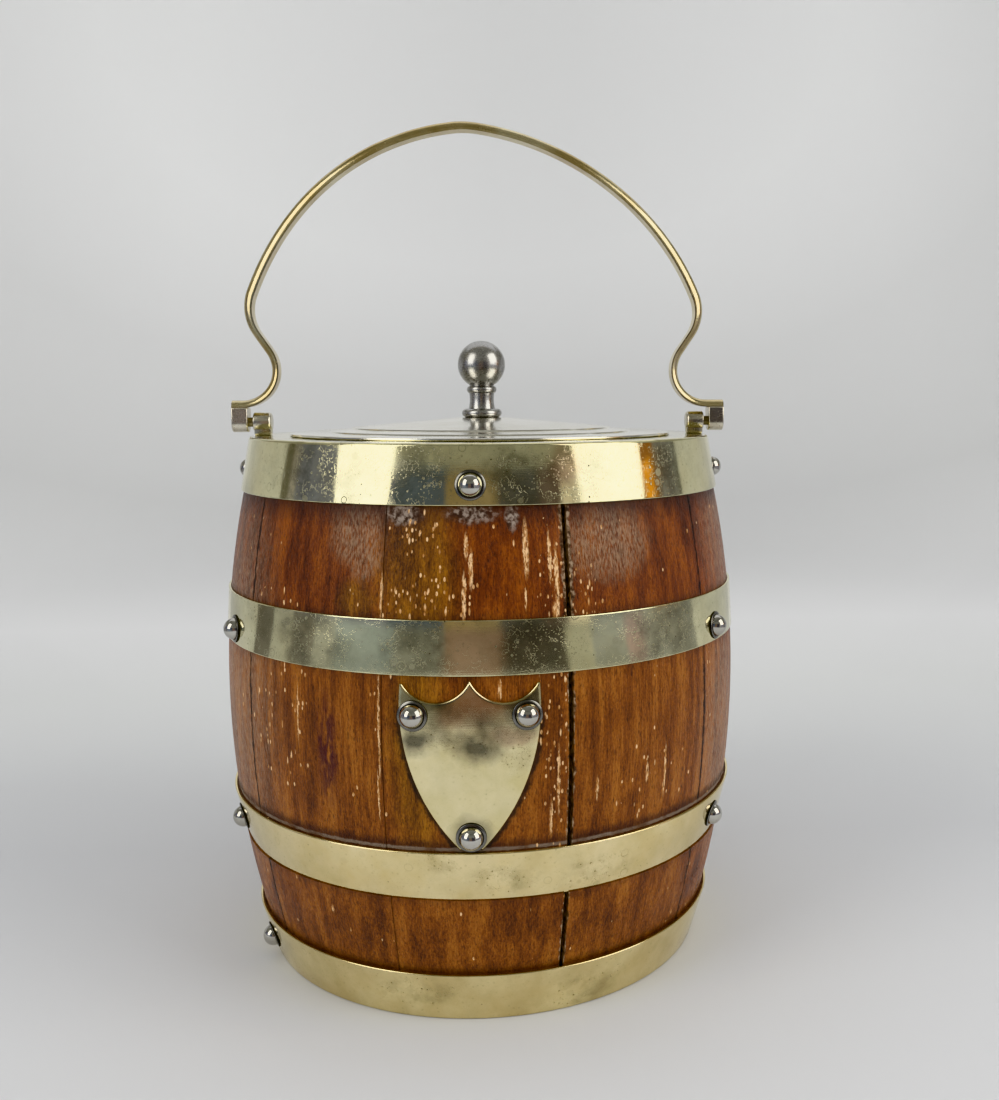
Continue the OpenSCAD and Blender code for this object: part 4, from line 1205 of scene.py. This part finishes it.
# %% Sizes of the handle's joints
PIVOT_Z = RIM_Z + 3.8
LUG_R, LUG_X = 2.85, (61.9, 67.1)
BOSS_R, BOSS_X = 2.95, (68.6, 73.2)
PIVOT_R, PIVOT_PLAY, PIVOT_FROM = 1.4, 0.06, 63.4
BORE_END = 63                       # the lug's blind hole ends here
NECK_X, NECK_W = (62.1, 66.9), 3.8
BAR_W, BAR_T, LEG_T = 4.8, 2.8, 2.2
SEAT_Z = PIVOT_Z + 4.2
RUN_Z = SEAT_Z + LEG_T / 2
axis_at = (0, 0, PIVOT_Z)
print("pivots at", round(PIVOT_Z, 2), "mm, bar laid on the bosses at", round(SEAT_Z, 2), "mm")

# %% Helpers for the joints
def box_piece(name, low, high):
    """A box between two corners in mm."""
    bpy.ops.object.select_all(action="DESELECT")
    size = Vector(high) - Vector(low)
    middle = (Vector(high) + Vector(low)) / 2
    bpy.ops.mesh.primitive_cube_add(size=1, location=(0, 0, 0))
    piece = bpy.context.active_object
    piece.name = name
    piece.data.transform(Matrix.Translation(middle * MM) @ Matrix.Diagonal((*(size * MM), 1)))
    return piece


def both_sides(piece, name, body, slot, material, node):
    """Fits the right-hand piece and its mirror image on the left."""
    for side, mirror in (("right", 1), ("left", -1)):
        copy = moved_copy(piece, f"{name}_{side}", Matrix.Diagonal((mirror, 1, 1, 1)))
        if mirror < 0:
            copy.data.flip_normals()
        fit(copy, body, slot, material, f"{node}_{side}")
    bpy.data.objects.remove(piece)

# %% Lugs
lug_bar = turned("lug_bar", rounded([
    (0, LUG_X[0]), (LUG_R, LUG_X[0]), (LUG_R, LUG_X[1]), (PIVOT_R + PIVOT_PLAY, LUG_X[1]),
    (PIVOT_R + PIVOT_PLAY, BORE_END), (0, BORE_END)], [0, 0.9, 0.3, 0.15, 0, 0]),
    steps=64, axis="X", offset=axis_at)
neck = box_piece("neck", (NECK_X[0], -NECK_W / 2, RIM_Z), (NECK_X[1], NECK_W / 2, PIVOT_Z))
lug = joined("lug", [lug_bar, bevelled(neck, 0.4)])
both_sides(lug, "lug_on_rim", "barrel", "handle_metal", joint_plate, "lug")

# %% Pivots
# the riveted end stands a hair proud of the boss
PIVOT_END = BOSS_X[1] + 0.06
pivot = turned("pivot", rounded([
    (0, PIVOT_FROM), (PIVOT_R, PIVOT_FROM), (PIVOT_R, PIVOT_END), (0, PIVOT_END)],
    [0, 0.3, 0.3, 0]), steps=48, axis="X", offset=axis_at)
both_sides(pivot, "pivot", "swing_handle", "fitting_metal", fitting_plate, "pivot_pin")

# %% Bosses, round below and square above, where the handle is brazed on
section = arc(0, PIVOT_Z, BOSS_R, 180, 360, 24) + [(BOSS_R, SEAT_Z), (-BOSS_R, SEAT_Z)]
boss = outline("boss", [(BOSS_X[0], y, z) for y, z in section])
edit(boss)
bpy.ops.mesh.edge_face_add()
bpy.ops.mesh.extrude_region_move(TRANSFORM_OT_translate={
    "value": ((BOSS_X[1] - BOSS_X[0]) * MM, 0, 0)})
close_mesh()
bevelled(boss, 0.3, segments=3, angle=50)
both_sides(boss, "handle_end", "swing_handle", "handle_metal", joint_plate, "handle_boss")

# %% [markdown]
# ## Handle
# The handle is half-round bar, flat inside and round outside, so it is light and kind to the
# hand. It rises from each boss in a bend, runs up a short leg, turns out in a tight bow and
# crosses over in a high arch. A curve with a bevel profile could carry the section, but it twists
# where the curve bends both ways. Here the section is spun from one arc centre to the next, so it
# stays square to the bar, and the other half is its mirror image.

# %% Arcs of the handle
CROWN_Z_BAR, CROWN_R, SIDE_ARC_R, KINK_R, BEND_R = RIM_Z + 89.95, 28, 78, 12.6, 9.9
CROWN_ANGLE, KINK_ANGLE, LEG = 7.75, 21.8, -124.3
SEAT_RUN = 4                        # length of bar that lies on a boss
ARCH_OFF, ARCH_SWAY, SWAY_FROM = -1.1, 0.001, 12


def heading(degrees):
    """Unit vector in the plane of the handle."""
    return Vector((math.cos(math.radians(degrees)), 0, math.sin(math.radians(degrees))))


crown_c = Vector((0, 0, CROWN_Z_BAR - CROWN_R))
side_c = crown_c + (CROWN_R - SIDE_ARC_R) * heading(90 - CROWN_ANGLE)
kink_c = side_c + (SIDE_ARC_R - KINK_R) * heading(KINK_ANGLE)
leg_top = kink_c + KINK_R * heading(LEG + 90)
leg_len = (RUN_Z + BEND_R - leg_top.z - BEND_R * heading(LEG + 90).z) / heading(LEG).z
bend_c = leg_top + leg_len * heading(LEG) + BEND_R * heading(LEG + 90)

# %% The bar, swept from the crown down to its end
# half-round section at the crown: across the jar is Y, the round side is up
section = [(0, BAR_W / 2 * y, CROWN_Z_BAR + BAR_T * (z - 0.5))
           for y, z in arc(0, 0, 1, 0, 180, 24)]
bar = outline("handle_half", section)
edit(bar)
for centre, degrees, steps in ((crown_c, CROWN_ANGLE, 6),
                               (side_c, 90 - CROWN_ANGLE - KINK_ANGLE, 36),
                               (kink_c, KINK_ANGLE - LEG - 90, 24)):
    bpy.ops.mesh.spin(steps=steps, angle=-math.radians(degrees), center=centre * MM,
                      axis=(0, 1, 0))
bpy.ops.mesh.extrude_region_move(TRANSFORM_OT_translate={"value": heading(LEG) * leg_len * MM})
bpy.ops.mesh.spin(steps=32, angle=-math.radians(LEG), center=bend_c * MM, axis=(0, 1, 0))
bpy.ops.mesh.extrude_region_move(TRANSFORM_OT_translate={"value": (SEAT_RUN * MM, 0, 0)})
bpy.ops.object.mode_set(mode="OBJECT")
print("bend at, mm:", [round(c, 2) for c in bend_c], "leg", round(leg_len, 2))

# %% The bar is forged thinner from the bow under the arch down to its ends
def on_line(point):
    """Nearest place on the bar's middle line below the arch, and how far down the bow that is,
    from 0 to 1."""
    away = point - kink_c
    angle = math.degrees(math.atan2(away.z, away.x))
    if point.z > kink_c.z and angle > KINK_ANGLE or point.x < 30:
        return None, 0.0
    if angle > LEG + 90 and away.length < KINK_R + 5:
        share = (KINK_ANGLE - angle) / (KINK_ANGLE - LEG - 90)
        return kink_c + away.normalized() * KINK_R, max(0.0, min(1.0, share))
    down = (point - leg_top).dot(heading(LEG))
    if down < leg_len:
        return leg_top + heading(LEG) * down, 1.0
    if point.x < bend_c.x or point.z > bend_c.z:
        return bend_c + (point - bend_c).normalized() * BEND_R, 1.0
    return Vector((point.x, 0, RUN_Z)), 1.0


for vertex in bar.data.vertices:
    flat = Vector((vertex.co.x, 0, vertex.co.z)) / MM
    middle, share = on_line(flat)
    if middle is not None:
        flat = middle + (flat - middle) * (BAR_T + (LEG_T - BAR_T) * share) / BAR_T
        vertex.co.x, vertex.co.z = flat.x * MM, flat.z * MM
print("bar:", BAR_T, "mm thick at the crown,", LEG_T, "mm at its ends")

# %% The other half, and the lean of the arch
mirror = bar.modifiers.new("other_half", "MIRROR")
mirror.use_clip = True
mirror.merge_threshold = 0.01 * MM
bpy.ops.object.modifier_apply(modifier=mirror.name)
# the arch stands off to the left and is bent over a little further up
for vertex in bar.data.vertices:
    up = max(0, vertex.co.z / MM - bend_c.z - SWAY_FROM)
    if abs(vertex.co.x) < (bend_c.x + SEAT_RUN - 0.1) * MM or vertex.co.z > bend_c.z * MM:
        vertex.co.x += (ARCH_OFF - ARCH_SWAY * up ** 2) * MM
    else:
        vertex.co.x = math.copysign(BOSS_X[1] * MM, vertex.co.x)
edit(bar)
close_mesh(60)
bar.name = bar.data.name = "handle_bar"
fit(bar, "swing_handle", "handle_metal", handle_plate, "handle")

# %% [markdown]
# ## Pieces that keep their shape
# The bottom board, the lid's collar and the knob's washer and nut are plain turned parts that lie
# inside or below. Their solids are right as they are, so they only get their finish.

# %% Finish of the pieces that keep their shape
for node, material in (("base_board", bare_oak), ("lid_collar", lid_plate),
                       ("knob_washer", fitting_plate), ("knob_nut", fitting_plate)):
    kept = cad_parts[node]
    kept.data.materials.clear()
    kept.data.materials.append(material)
    print(node, "keeps its shape, in", material.name)
